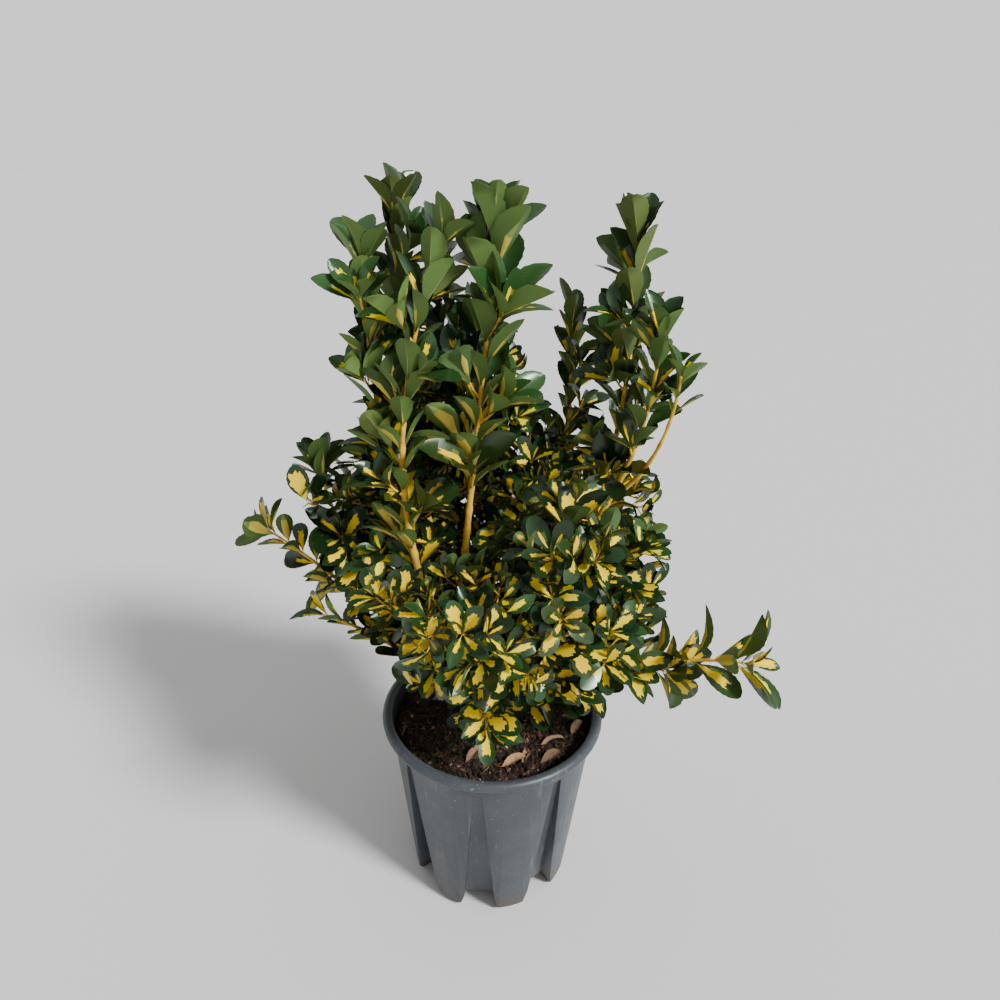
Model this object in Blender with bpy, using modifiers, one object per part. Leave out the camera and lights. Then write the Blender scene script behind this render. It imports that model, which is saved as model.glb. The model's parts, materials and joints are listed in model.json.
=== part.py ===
# Potted golden-variegated Japanese spindle: a bushy evergreen shrub in a round nursery pot.
# Metres, +Z up. The origin is on the floor under the middle of the pot.
# +X is to the right as the shrub is seen from its front, and +Y is towards its back.

import math
import random
from collections import namedtuple
from itertools import combinations

import bmesh
import bpy
import numpy as np
from mathutils import Matrix, Vector
from mathutils.bvhtree import BVHTree

OBJECT_NAME = "potted_variegated_euonymus"
GAP = 0.0003  # between solids that touch
WELD = 0.00001

# Pot
POT_HEIGHT = 0.235
RIM_RADIUS = 0.130
RIM_INNER_RADIUS = 0.1172
BEAD_HEIGHT = 0.013
BODY_TOP_RADIUS = 0.1195  # outer wall, just under the bead
BODY_FOOT_RADIUS = 0.0960  # outer wall, carried on down to the floor
WALL = 0.0025
BASE_HEIGHT = 0.0164  # underside of the base, between the feet
BASE_THICKNESS = 0.003
FOOT_OUTER_RADIUS = 0.0915  # of the feet's flat undersides
FOOT_CHAMFER_HEIGHT = 0.008
FOOT_INNER_RADIUS = 0.0780
TURN_STEPS = 48

# Wedge-shaped recesses run up the wall, flare out near the floor and part it into feet
RECESS_COUNT = 8
RECESS_HEADING = -97.0  # of the one nearest the front, in degrees from +X
RECESS_TOP = 0.2075
RECESS_TOP_HALF = 0.0050
FLARE_TOP = 0.024
FLARE_TOP_HALF = 0.0182
FLARE_FOOT_HALF = 0.0245
RECESS_TOP_DEPTH = 0.0030
RECESS_FLOOR_RADIUS = 0.0806  # of the recess's flat floor, at the base
DRAIN_COUNT = 8
DRAIN_RADIUS = 0.0055
DRAIN_CIRCLE = 0.052

# Compost
SOIL_EDGE_HEIGHT = 0.2105
SOIL_HEIGHT = 0.2125
SOIL_FLAT_RADIUS = 0.030

# Stem
STEM_HEIGHT = 0.060
STEM_FLARE_RADIUS = 0.0155
STEM_FLARE_TOP = 0.12  # as a share of its height
STEM_RADIUS = 0.0105
STEM_TOP_RADIUS = 0.0086
STEM_LEAN = 0.004

# A limb is a curve of this many straight runs, and its twig part is three-sided
BOUGH_RUNS = 4
SEAT_ROUNDS = 3  # a limb's foot and its first direction depend on each other
CHILD_RADIUS = 0.95  # at most, as a share of what carries it
TWIG_RUN = 0.040
TWIG_FOOT_RUN = 0.004
SIDE_TWIG_RUNS = 2
LIMB_TIP_RADIUS = 0.0012  # a limb's taper, carried on to the end of its main twig
TWIG_FOOT_RADIUS = 0.0046
TWIG_TIP_RADIUS = 0.0024
SIDE_TWIG_RADIUS = 0.0026
SIDE_TWIG_TIP_RADIUS = 0.0020

# Leaf, as shares of its length
LEAF_WIDTH = 0.54
LEAF_THICKNESS = 0.034
LEAF_BELLY = 0.60  # where it is widest
LEAF_FOLD = 0.085  # how far its sides stand up from the midrib
LEAF_DROOP = 0.10  # how far its tip curls back
LEAF_SINK = 0.010  # how far its root runs on past the twig's middle

SPACE_MARGIN = 0.0016  # between the spaces of two masses
CLEARANCE = 0.0008  # between a leaf and what it must not touch
MOST_OUTSIDE = 0.022  # how far a leaf may stand out past its mass's reach
TRIES = 5  # turns that are tried before a leaf or twig is skipped
LEAF_SWINGS = (0.0, 0.35, -0.35, 0.70, -0.70)
LEAF_TILTS = (0, 8, -10, 14, -16)
SKYWARD = 0.35  # how strongly a leaf turns up, against its own direction
GOLDEN_TURN = 2.4
SEED = 39

# The crown's underside: level over the compost, then a short slope past the rim, then level again.
# Towards the front it rises further, so that the rim shows.
UNDERSIDE_HEIGHT = 0.235
UNDERSIDE_RADIUS = 0.090
UNDERSIDE_SLOPE = 1.4
UNDERSIDE_SPREAD = 0.050
UNDERSIDE_FRONT = 0.090
UNDERSIDE_FRONT_SLOPE = 0.90

# The shrub's shoots. Each is a bough that ends in a mass of foliage.
# parent and place: the bough that it leaves, and where along it, from 0 to 1
# heading: in degrees from +X; reach and top: where its main twig ends, from the pot's axis and the floor
# bow and lift: how far its middle stands out from the straight line, outwards and upwards
# split: the share of its length at which the bough ends and the foliage starts
Shoot = namedtuple("Shoot", "name parent place heading reach top bow lift split kind")

SHOOTS = [
    Shoot("left_leader", "stem", 0.90, -150, 0.060, 0.754, 0.062, 0.000, 0.34, "leader"),
    Shoot("left_outer_leader", "left_leader", 0.88, 178, 0.126, 0.732, 0.012, 0.000, 0.16, "leader"),
    Shoot("left_rear_leader", "stem", 0.96, 153, 0.112, 0.771, 0.030, -0.010, 0.40, "leader"),
    Shoot("middle_leader", "left_leader", 0.45, -100, 0.020, 0.759, 0.000, 0.000, 0.34, "leader"),
    Shoot("right_rear_leader", "stem", 0.97, 45, 0.106, 0.674, 0.036, -0.010, 0.42, "leader"),
    Shoot("right_leader", "stem", 0.76, 9, 0.128, 0.755, 0.040, -0.020, 0.52, "leader"),
    Shoot("right_fork", "right_leader", 0.92, -11, 0.149, 0.676, 0.012, 0.000, 0.22, "leader"),
    Shoot("right_fork_low", "right_fork", 0.90, -19, 0.172, 0.650, 0.010, -0.010, 0.50, "tuft"),
    Shoot("inner_rear", "left_rear_leader", 0.80, 118, 0.085, 0.655, 0.010, -0.010, 0.20, "crown"),
    Shoot("centre", "right_rear_leader", 0.50, 55, 0.061, 0.561, 0.000, 0.000, 0.26, "crown"),
    Shoot("left_shoulder", "stem", 0.66, 172, 0.116, 0.560, 0.022, -0.010, 0.34, "crown"),
    Shoot("left_cluster", "stem", 0.42, 178, 0.182, 0.525, 0.018, -0.030, 0.40, "crown"),
    Shoot("left_low", "left_cluster", 0.80, 169, 0.262, 0.435, 0.000, 0.010, 0.20, "reacher"),
    Shoot("left_skirt", "stem", 0.14, -168, 0.186, 0.382, 0.000, 0.020, 0.50, "reacher"),
    Shoot("front_left", "stem", 0.38, -130, 0.133, 0.440, 0.014, -0.015, 0.32, "crown"),
    Shoot("front_high", "stem", 0.70, -62, 0.135, 0.530, 0.026, -0.020, 0.34, "crown"),
    Shoot("front_middle", "stem", 0.56, -96, 0.158, 0.462, 0.020, -0.005, 0.38, "crown"),
    Shoot("front_low", "stem", 0.16, -94, 0.098, 0.300, 0.000, 0.006, 0.34, "tuft"),
    Shoot("front_right", "stem", 0.52, -44, 0.150, 0.420, 0.014, -0.010, 0.34, "crown"),
    Shoot("right_low", "stem", 0.32, -17, 0.268, 0.358, 0.000, 0.026, 0.42, "reacher"),
    Shoot("front_right_low", "stem", 0.17, -36, 0.122, 0.325, 0.000, 0.006, 0.34, "tuft"),
    Shoot("right_cluster", "stem", 0.52, 2, 0.155, 0.435, 0.016, -0.010, 0.30, "crown"),
    Shoot("right_rear", "stem", 0.66, 44, 0.170, 0.480, 0.026, -0.020, 0.36, "crown"),
    Shoot("back_left", "stem", 0.46, 134, 0.180, 0.470, 0.022, -0.020, 0.36, "crown"),
    Shoot("back_middle", "stem", 0.64, 102, 0.146, 0.460, 0.026, -0.012, 0.34, "crown"),
    Shoot("back_right", "stem", 0.46, 70, 0.160, 0.400, 0.018, -0.012, 0.32, "crown"),
    Shoot("back_low_left", "stem", 0.22, 122, 0.170, 0.330, 0.000, 0.004, 0.32, "skirt"),
    Shoot("back_low_right", "stem", 0.24, 34, 0.160, 0.320, 0.000, 0.004, 0.32, "skirt"),
]

# How each kind of shoot carries its leaves
# foot_radius: of the bough; pair_step: between leaf pairs; leaf: its length
# side_twigs and side_length: on the main twig; reach: how far the mass may spread from its main twig
Habit = namedtuple("Habit", "foot_radius pair_step leaf side_twigs side_length reach")

HABITS = {
    "leader": Habit(0.0052, 0.046, 0.062, 2, 0.034, 0.045),
    "crown": Habit(0.0046, 0.047, 0.069, 3, 0.060, 0.075),
    "skirt": Habit(0.0040, 0.040, 0.060, 3, 0.050, 0.075),
    "reacher": Habit(0.0044, 0.033, 0.054, 2, 0.038, 0.050),
    "tuft": Habit(0.0032, 0.026, 0.050, 1, 0.030, 0.040),
}

FINISHES = {
    "pot": ((0.075, 0.090, 0.105), 0.42),
    "soil": ((0.030, 0.018, 0.012), 0.95),
    "bark": ((0.420, 0.270, 0.070), 0.70),
    "foliage": ((0.055, 0.135, 0.030), 0.38),
}


def clear_scene():
    for item in list(bpy.data.objects):
        bpy.data.objects.remove(item, do_unlink=True)


def make_collection(name):
    collection = bpy.data.collections.new(name)
    bpy.context.scene.collection.children.link(collection)
    return collection


def finish_material(name, finish):
    color, roughness = FINISHES[finish]
    material = bpy.data.materials.new(name)
    material.use_nodes = True
    shader = material.node_tree.nodes["Principled BSDF"]
    shader.inputs["Base Color"].default_value = (*color, 1.0)
    shader.inputs["Roughness"].default_value = roughness
    shader.inputs["Metallic"].default_value = 0.0
    return material


def add_object(name, data, collection, finish=None):
    item = bpy.data.objects.new(name, data)
    collection.objects.link(item)
    if finish:
        item.data.materials.append(finish_material(name, finish))
    return item


def mesh_of(bm, name):
    bmesh.ops.recalc_face_normals(bm, faces=bm.faces)
    mesh = bpy.data.meshes.new(name)
    bm.to_mesh(mesh)
    bm.free()
    return mesh


def hide_tool(item):
    item.hide_render = True
    item.display_type = "WIRE"


def polar(heading, reach, height):
    angle = math.radians(heading)
    return Vector((reach * math.cos(angle), reach * math.sin(angle), height))


# Pot and compost


def wall_radius(height):
    bead_foot = POT_HEIGHT - BEAD_HEIGHT
    return BODY_FOOT_RADIUS + (BODY_TOP_RADIUS - BODY_FOOT_RADIUS) * height / bead_foot


def recess_floor(height):
    top_floor = wall_radius(RECESS_TOP) - RECESS_TOP_DEPTH
    share = (height - BASE_HEIGHT) / (RECESS_TOP - BASE_HEIGHT)
    return RECESS_FLOOR_RADIUS + (top_floor - RECESS_FLOOR_RADIUS) * share


def recess_half(height):
    """Half the recess's width: it narrows slowly up the wall, above a short flare at its foot."""
    if height < FLARE_TOP:
        return FLARE_FOOT_HALF + (FLARE_TOP_HALF - FLARE_FOOT_HALF) * height / FLARE_TOP
    share = (height - FLARE_TOP) / (RECESS_TOP - FLARE_TOP)
    return FLARE_TOP_HALF + (RECESS_TOP_HALF - FLARE_TOP_HALF) * share


def turned(name, outline, collection, finish):
    """Turns an outline of (radius, height) points, from the axis round to the axis, about Z."""
    bm = bmesh.new()
    points = [bm.verts.new((radius, 0.0, height)) for radius, height in outline]
    for a, b in zip(points, points[1:]):
        bm.edges.new((a, b))
    mesh = bpy.data.meshes.new(name)
    bm.to_mesh(mesh)
    bm.free()
    item = add_object(name, mesh, collection, finish)
    screw = item.modifiers.new("turn", "SCREW")
    screw.steps = TURN_STEPS
    screw.render_steps = TURN_STEPS
    screw.use_merge_vertices = True
    screw.merge_threshold = WELD
    screw.use_normal_calculate = True
    return item


def pot_outline():
    bead_middle = (RIM_RADIUS + RIM_INNER_RADIUS) / 2
    bead_half = (RIM_RADIUS - RIM_INNER_RADIUS) / 2
    bead_centre = POT_HEIGHT - BEAD_HEIGHT / 2
    bead_foot = POT_HEIGHT - BEAD_HEIGHT
    floor_top = BASE_HEIGHT + BASE_THICKNESS
    outline = [(0.0, floor_top), (wall_radius(floor_top) - WALL, floor_top)]
    outline.append((wall_radius(bead_foot) - WALL, bead_foot - WALL))
    for angle in (195, 160, 125, 90, 55, 20, -15, -50, -80):
        turn = math.radians(angle)
        outline.append((bead_middle + bead_half * math.cos(turn),
                        bead_centre + BEAD_HEIGHT / 2 * math.sin(turn)))
    outline.append((wall_radius(bead_foot), bead_foot))
    outline.append((wall_radius(FOOT_CHAMFER_HEIGHT), FOOT_CHAMFER_HEIGHT))
    outline.append((FOOT_OUTER_RADIUS, 0.0))
    outline.append((FOOT_INNER_RADIUS, 0.0))
    outline.append((FOOT_INNER_RADIUS, BASE_HEIGHT))
    outline.append((0.0, BASE_HEIGHT))
    return outline


def wedge(name, collection, heading, heights, inner, outer, half):
    """A block through these heights; inner, outer and half give its faces as functions of height."""
    bm = bmesh.new()
    bmesh.ops.create_cube(bm, size=1.0)
    top = len(heights) - 1
    for level in range(1, top):
        bmesh.ops.bisect_plane(bm, geom=bm.verts[:] + bm.edges[:] + bm.faces[:],
                               plane_co=(0.0, 0.0, level / top - 0.5), plane_no=(0.0, 0.0, 1.0))
    for vert in bm.verts:
        height = heights[round((vert.co.z + 0.5) * top)]
        across = math.copysign(half(height), vert.co.y)
        out = outer(height) if vert.co.x > 0 else inner(height)
        vert.co = (out, across, height)
    bmesh.ops.rotate(bm, verts=bm.verts, matrix=Matrix.Rotation(math.radians(heading), 3, "Z"))
    item = add_object(name, mesh_of(bm, name), collection)
    hide_tool(item)
    return item


def recess_headings():
    return [RECESS_HEADING + 360.0 * n / RECESS_COUNT for n in range(RECESS_COUNT)]


def recess_back_face(height):
    """The radius of the outer side of the blocks behind the recesses, within the wall's thickness."""
    sagitta = recess_half(height) ** 2 / (2 * wall_radius(height))
    return wall_radius(height) - sagitta - 0.55 * WALL


def boolean(item, collection, operation):
    cut = item.modifiers.new(operation.lower(), "BOOLEAN")
    cut.operation = operation
    cut.operand_type = "COLLECTION"
    cut.collection = collection
    cut.solver = "EXACT"
    return cut


def make_pot(parts, tools):
    pot = turned("pot", pot_outline(), parts, "pot")

    backs = bpy.data.collections.new("recess_backs")
    tools.children.link(backs)
    back_heights = (BASE_HEIGHT + BASE_THICKNESS / 2, FLARE_TOP, RECESS_TOP + WALL)
    for n, heading in enumerate(recess_headings()):
        wedge(f"recess_back_{n + 1}", backs, heading, back_heights,
              lambda height: recess_floor(height) - WALL, recess_back_face,
              lambda height: recess_half(height) + WALL)
    boolean(pot, backs, "UNION")

    cuts = bpy.data.collections.new("pot_cutters")
    tools.children.link(cuts)
    below = -0.005
    beyond = RIM_RADIUS + 0.02
    for n, heading in enumerate(recess_headings()):
        wedge(f"recess_cutter_{n + 1}", cuts, heading, (below, FLARE_TOP, RECESS_TOP),
              recess_floor, lambda height: beyond, recess_half)
        wedge(f"foot_gap_cutter_{n + 1}", cuts, heading, (below, BASE_HEIGHT - GAP),
              lambda height: FOOT_INNER_RADIUS * 0.9, lambda height: beyond, recess_half)
    for n in range(DRAIN_COUNT):
        heading = RECESS_HEADING + 360.0 * (n + 0.5) / DRAIN_COUNT
        place = polar(heading, DRAIN_CIRCLE, BASE_HEIGHT)
        bm = bmesh.new()
        bmesh.ops.create_cone(bm, cap_ends=True, segments=10, radius1=DRAIN_RADIUS, radius2=DRAIN_RADIUS,
                              depth=4 * BASE_THICKNESS, matrix=Matrix.Translation(place))
        hide_tool(add_object(f"drain_cutter_{n + 1}", mesh_of(bm, "drain_cutter"), cuts))
    boolean(pot, cuts, "DIFFERENCE")
    return pot


def make_soil(parts, tools):
    low = BASE_HEIGHT + BASE_THICKNESS + GAP
    clear = WALL + GAP
    outline = [(0.0, SOIL_HEIGHT), (SOIL_FLAT_RADIUS, SOIL_HEIGHT)]
    outline.append((wall_radius(SOIL_EDGE_HEIGHT) - clear - GAP, SOIL_EDGE_HEIGHT))
    outline.append((wall_radius(low) - clear, low))
    outline.append((0.0, low))
    soil = turned("soil", outline, parts, "soil")

    cuts = bpy.data.collections.new("soil_cutters")
    tools.children.link(cuts)
    beyond = RIM_RADIUS
    cut_heights = (low - 0.01, FLARE_TOP, RECESS_TOP + WALL + GAP)
    for n, heading in enumerate(recess_headings()):
        wedge(f"soil_cutter_{n + 1}", cuts, heading, cut_heights,
              lambda height: recess_floor(height) - clear, lambda height: beyond,
              lambda height: recess_half(height) + clear)
    boolean(soil, cuts, "DIFFERENCE")
    return soil


# Limbs


def bend(foot, middle, tip, share):
    """A point on the smooth curve from foot to tip that passes through middle."""
    control = middle * 2 - (foot + tip) / 2
    rest = 1 - share
    return foot * rest * rest + control * 2 * rest * share + tip * share * share


class Limb:
    """A tapering path: where it runs, how thick it is and which way it points, by its share from 0 to 1."""

    def __init__(self, foot, middle, tip, foot_radius, tip_radius):
        self.foot, self.middle, self.tip = foot, middle, tip
        self.foot_radius, self.tip_radius = foot_radius, tip_radius

    def point(self, share):
        return bend(self.foot, self.middle, self.tip, share)

    def radius(self, share):
        return self.foot_radius + (self.tip_radius - self.foot_radius) * share

    def tangent(self, share):
        step = 0.01
        low, high = max(share - step, 0.0), min(share + step, 1.0)
        return (self.point(high) - self.point(low)).normalized()


def stem_limb():
    foot = Vector((0.0, 0.0, SOIL_HEIGHT + GAP))
    tip = foot + Vector((-STEM_LEAN, 0.0, STEM_HEIGHT))
    return Limb(foot, (foot + tip) / 2, tip, STEM_RADIUS, STEM_TOP_RADIUS)


def seat(parent, place, direction, radius, gap):
    """The foot of a limb that leaves the side of its parent in this direction, this far clear of it."""
    along = parent.tangent(place)
    side = (direction - along * direction.dot(along)).normalized()
    steep = math.sqrt(max(0.0, 1 - direction.dot(side) ** 2))
    return parent.point(place) + side * (parent.radius(place) + gap + radius * steep)


def tube(name, points, radii, section=None):
    """A closed tapering tube through the points: six-sided, or with the section's own sides."""
    curve = bpy.data.curves.new(name, "CURVE")
    curve.dimensions = "3D"
    curve.use_fill_caps = True
    if section:
        curve.bevel_mode = "OBJECT"
        curve.bevel_object = section
    else:
        curve.bevel_depth = 1.0
        curve.bevel_resolution = 1
    spline = curve.splines.new("POLY")
    spline.points.add(len(points) - 1)
    for knot, point, radius in zip(spline.points, points, radii):
        knot.co = (*point, 1.0)
        knot.radius = radius
    return curve


def evaluated_mesh(item):
    depsgraph = bpy.context.evaluated_depsgraph_get()
    return bpy.data.meshes.new_from_object(item.evaluated_get(depsgraph))


def remove_curve(item):
    curve = item.data
    bpy.data.objects.remove(item)
    bpy.data.curves.remove(curve)


def meshed(item):
    """Replaces a curve object by its welded mesh."""
    mesh = evaluated_mesh(item)
    bm = bmesh.new()
    bm.from_mesh(mesh)
    bmesh.ops.remove_doubles(bm, verts=bm.verts, dist=WELD)
    bpy.data.meshes.remove(mesh)
    solid = bpy.data.objects.new(item.name, mesh_of(bm, item.name))
    solid.matrix_world = item.matrix_world
    for collection in item.users_collection:
        collection.objects.link(solid)
    remove_curve(item)
    return solid


class Piece:
    """A limb, twig or leaf as a small solid in the world, used to find what touches."""

    def __init__(self, mesh, placing, owner, root=None):
        self.corners = [placing @ vert.co for vert in mesh.vertices]
        self.faces = [tuple(face.vertices) for face in mesh.polygons]
        self.middle = sum(self.corners, Vector()) / len(self.corners)
        self.size = max((corner - self.middle).length for corner in self.corners)
        self.owner, self.root = owner, root
        self.tree = BVHTree.FromPolygons(self.corners, self.faces, epsilon=CLEARANCE)

    def touches(self, other):
        if (self.middle - other.middle).length > self.size + other.size + CLEARANCE:
            return False
        return bool(self.tree.overlap(other.tree))

    def samples(self):
        points = list(self.corners)
        for face in self.faces:
            corners = [self.corners[n] for n in face]
            points.append(sum(corners, Vector()) / len(corners))
        return points


def solid_piece(item, owner):
    mesh = evaluated_mesh(item)
    piece = Piece(mesh, item.matrix_world, owner)
    bpy.data.meshes.remove(mesh)
    return piece


def make_stem(parts, stem):
    shares = (0.0, STEM_FLARE_TOP, 0.5, 1.0)
    points = [stem.point(share) for share in shares]
    points[1].x = points[0].x  # so the flat foot is level
    radii = [STEM_FLARE_RADIUS] + [stem.radius(share) for share in shares[1:]]
    item = add_object("stem", tube("stem", points, radii), parts, "bark")
    item.data.bevel_resolution = 2
    return item


def bough_shares(shoot):
    return [shoot.split * n / BOUGH_RUNS for n in range(BOUGH_RUNS + 1)]


def bough_line(shoot, limb):
    return [limb.point(share) for share in bough_shares(shoot)]


def lay_limb(shoot, parent, place, gap):
    """The path of a shoot whose foot is this far from its parent, to the end of its main twig."""
    foot_radius = min(HABITS[shoot.kind].foot_radius, CHILD_RADIUS * parent.radius(place))
    tip = polar(shoot.heading, shoot.reach, shoot.top)
    outward = polar(shoot.heading, 1.0, 0.0)
    foot = parent.point(place)
    first_run = shoot.split / BOUGH_RUNS
    for n in range(SEAT_ROUNDS):
        middle = (foot + tip) / 2 + outward * shoot.bow + Vector((0.0, 0.0, shoot.lift))
        direction = (bend(foot, middle, tip, first_run) - foot).normalized()
        foot = seat(parent, place, direction, foot_radius, gap)
    return Limb(foot, middle, tip, foot_radius, LIMB_TIP_RADIUS)


def make_bough(parts, shoot, limb):
    radii = [limb.radius(share) for share in bough_shares(shoot)]
    name = f"bough_{shoot.name}"
    return add_object(name, tube(name, bough_line(shoot, limb), radii), parts, "bark")


def foot_distance(bough, limb, carrier):
    """How far a bough's flat foot lies from the solid that carries it."""
    mesh = evaluated_mesh(bough)
    ring = [vert.co.copy() for vert in mesh.vertices
            if (vert.co - limb.foot).length < 1.1 * limb.foot_radius]
    bpy.data.meshes.remove(mesh)
    spots = [a.lerp(b, n / 6) for a, b in combinations(ring, 2) for n in range(7)]
    return min(carrier.tree.find_nearest(spot)[3] for spot in spots)


def make_limbs(parts):
    """The stem and the boughs, parents first: each foot is measured, then moved in to its gap."""
    limbs = {"stem": stem_limb()}
    ends = {"stem": 1.0}
    solids = {"stem": solid_piece(make_stem(parts, limbs["stem"]), None)}
    for shoot in SHOOTS:
        parent = limbs[shoot.parent]
        place = shoot.place * ends[shoot.parent]
        gap = GAP
        for n in range(SEAT_ROUNDS):
            limb = lay_limb(shoot, parent, place, gap)
            bough = make_bough(parts, shoot, limb)
            if n < SEAT_ROUNDS - 1:
                gap += GAP - foot_distance(bough, limb, solids[shoot.parent])
                remove_curve(bough)
        limbs[shoot.name] = limb
        ends[shoot.name] = shoot.split
        solids[shoot.name] = solid_piece(bough, None)
    return limbs, list(solids.values())


# Foliage


def make_leaf_mesh():
    """One leaf a metre long, with its root at the origin, lying along +Y with its upper side to +Z."""
    bm = bmesh.new()
    bmesh.ops.create_uvsphere(bm, u_segments=4, v_segments=2, radius=1.0)
    for vert in bm.verts:
        x, y, z = vert.co
        if z > 0.5:
            vert.co = (0.0, 1.0, -LEAF_DROOP)
        elif z < -0.5:
            vert.co = (0.0, -LEAF_SINK, 0.0)
        elif abs(x) > 0.5:
            vert.co = (x * LEAF_WIDTH / 2, LEAF_BELLY, LEAF_FOLD)
        else:
            vert.co = (0.0, LEAF_BELLY, y * LEAF_THICKNESS / 2)
    return mesh_of(bm, "leaf")


def leaf_frame(root, direction, upward, length):
    """The placing of a leaf that points along direction with its upper side towards upward."""
    along = direction.normalized()
    across = along.cross(upward).normalized()
    normal = across.cross(along)
    turn = Matrix((across, along, normal)).transposed().to_4x4()
    return Matrix.Translation(root) @ turn @ Matrix.Scale(length, 4)


class Mass:
    """One shoot's foliage: its main twig, its side twigs and its leaves."""

    def __init__(self, shoot, limb):
        self.shoot, self.habit = shoot, HABITS[shoot.kind]
        self.draw = random.Random(f"{SEED} {shoot.name}")
        # The main twig sets off square to the bough's flat end
        line = bough_line(shoot, limb)
        forward = (line[-1] - line[-2]).normalized()
        start = line[-1] + forward * GAP
        runs = max(2, round((limb.tip - start).length / TWIG_RUN))
        shares = [shoot.split + (1 - shoot.split) * n / runs for n in range(1, runs + 1)]
        self.line = [start, start + forward * TWIG_FOOT_RUN] + [limb.point(share) for share in shares]
        self.radii = [TWIG_FOOT_RADIUS, TWIG_FOOT_RADIUS]
        self.radii += [TWIG_FOOT_RADIUS + (TWIG_TIP_RADIUS - TWIG_FOOT_RADIUS) * n / runs
                       for n in range(1, runs + 1)]
        self.side_twigs = []
        self.leaves = []

    def length(self):
        return sum((b - a).length for a, b in zip(self.line, self.line[1:]))

    def at(self, share):
        """The point at this share of the main twig's length, and the twig's direction there."""
        left = share * self.length()
        for a, b in zip(self.line, self.line[1:]):
            run = (b - a).length
            if left <= run:
                break
            left -= run
        return a.lerp(b, min(left / run, 1.0)), (b - a).normalized()


class Spaces:
    """Shares out the crown: a point is its mass's whose main twig is nearest, less that mass's reach."""

    def __init__(self, masses):
        runs = [(a, b) for mass in masses for a, b in zip(mass.line, mass.line[1:])]
        self.starts = np.array([a for a, b in runs])
        self.runs = np.array([b - a for a, b in runs])
        self.squares = (self.runs ** 2).sum(axis=1)
        counts = [len(mass.line) - 1 for mass in masses]
        self.firsts = np.cumsum([0] + counts[:-1])
        self.reaches = np.array([mass.habit.reach for mass in masses])

    def holds(self, index, points):
        spots = np.array(points)[:, None, :] - self.starts
        shares = np.clip((spots * self.runs).sum(axis=2) / self.squares, 0.0, 1.0)
        away = np.linalg.norm(spots - shares[..., None] * self.runs, axis=2)
        nearest = np.minimum.reduceat(away, self.firsts, axis=1) - self.reaches
        own = nearest[:, index].copy()
        nearest[:, index] = np.inf
        inside = nearest.min(axis=1) - own > 2 * SPACE_MARGIN
        return bool(inside.all()) and own.max() < MOST_OUTSIDE


def around(along, turn):
    """The direction at right angles to a twig that is turned this far about it."""
    side = along.cross(Vector((0.0, 0.0, 1.0)))
    if side.length < 0.05:
        side = along.cross(Vector((0.0, 1.0, 0.0)))
    side.normalize()
    return side * math.cos(turn) + side.cross(along) * math.sin(turn)


def underside(point):
    """The crown's lowest height at a point: it rises outwards, and more steeply towards the front."""
    outer = min(max(0.0, math.hypot(point.x, point.y) - UNDERSIDE_RADIUS), UNDERSIDE_SPREAD)
    front = max(0.0, -point.y - UNDERSIDE_FRONT)
    return UNDERSIDE_HEIGHT + UNDERSIDE_SLOPE * outer + UNDERSIDE_FRONT_SLOPE * front


def above_underside(piece):
    return all(point.z > underside(point) for point in piece.corners)


def grow_side_twigs(mass, index, spaces, standing, section, pieces):
    """Side twigs leave the main twig all round it, and lean towards its tip."""
    habit, draw = mass.habit, mass.draw
    for n in range(habit.side_twigs):
        root, along = mass.at(0.14 + 0.66 * (n + draw.uniform(0, 0.4)) / habit.side_twigs)
        turn = n * GOLDEN_TURN + draw.uniform(-0.4, 0.4)
        full = habit.side_length * draw.uniform(0.85, 1.15)
        for attempt in range(TRIES):
            outward = around(along, turn + attempt * 1.15)
            aim = (along * draw.uniform(0.75, 1.0) + outward).normalized()
            length = full * (1.0 - 0.10 * attempt)
            tip = root + aim * length
            middle = (root + tip) / 2 + outward * 0.06 * length
            shares = [k / SIDE_TWIG_RUNS for k in range(SIDE_TWIG_RUNS + 1)]
            line = [bend(root, middle, tip, share) for share in shares]
            radii = [SIDE_TWIG_RADIUS + (SIDE_TWIG_TIP_RADIUS - SIDE_TWIG_RADIUS) * share
                     for share in shares]
            item = meshed(add_object("side_twig", tube("side_twig", line, radii, section), pieces))
            piece = Piece(item.data, Matrix(), mass, root)
            fits = above_underside(piece) and spaces.holds(index, piece.samples())
            if fits and not any(piece.touches(other) for other in standing if other.root is not None
                                or other.owner is not mass):
                mass.side_twigs.append((line, piece))
                standing.append(piece)
                break
            bpy.data.objects.remove(item)


def leaf_sites(mass):
    """Where leaves may stand: root, twig direction, turn about the twig, lean from it, length, carrier."""
    habit, draw = mass.habit, mass.draw
    pairs = max(2, round(mass.length() / habit.pair_step))
    sites = []
    for n in range(pairs):
        part = (n + 0.7) / pairs
        root, along = mass.at(min(part, 0.98))
        turn = n * math.pi / 2 + draw.uniform(-0.3, 0.3) + 0.6
        size = habit.leaf * (0.92 + 0.18 * math.sin(math.pi * part))
        for side in (0, 1):
            sites.append((root, along, turn + side * math.pi, 62 - 26 * part, size, None))
    root, along = mass.at(0.985)
    for n in range(3):
        turn = n * 2 * math.pi / 3 + draw.uniform(-0.3, 0.3)
        sites.append((root, along, turn, 24, habit.leaf * 0.9, None))
    for line, carrier in mass.side_twigs:
        along = (line[-1] - line[-2]).normalized()
        turn = draw.uniform(0, math.pi)
        for n, part in enumerate((0.45, 0.93)):
            root = line[0].lerp(line[1], part * 2) if part < 0.5 else line[-2].lerp(line[-1], part * 2 - 1)
            for side in (0, 1):
                lean = 58 - 18 * n + draw.uniform(-6, 6)
                facing = turn + (n + 2 * side) * math.pi / 2
                sites.append((root, along, facing, lean, habit.leaf * 0.92, carrier))
        sites.append((root, along, turn + 0.8, 12, habit.leaf * 0.8, carrier))
    return sites


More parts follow.
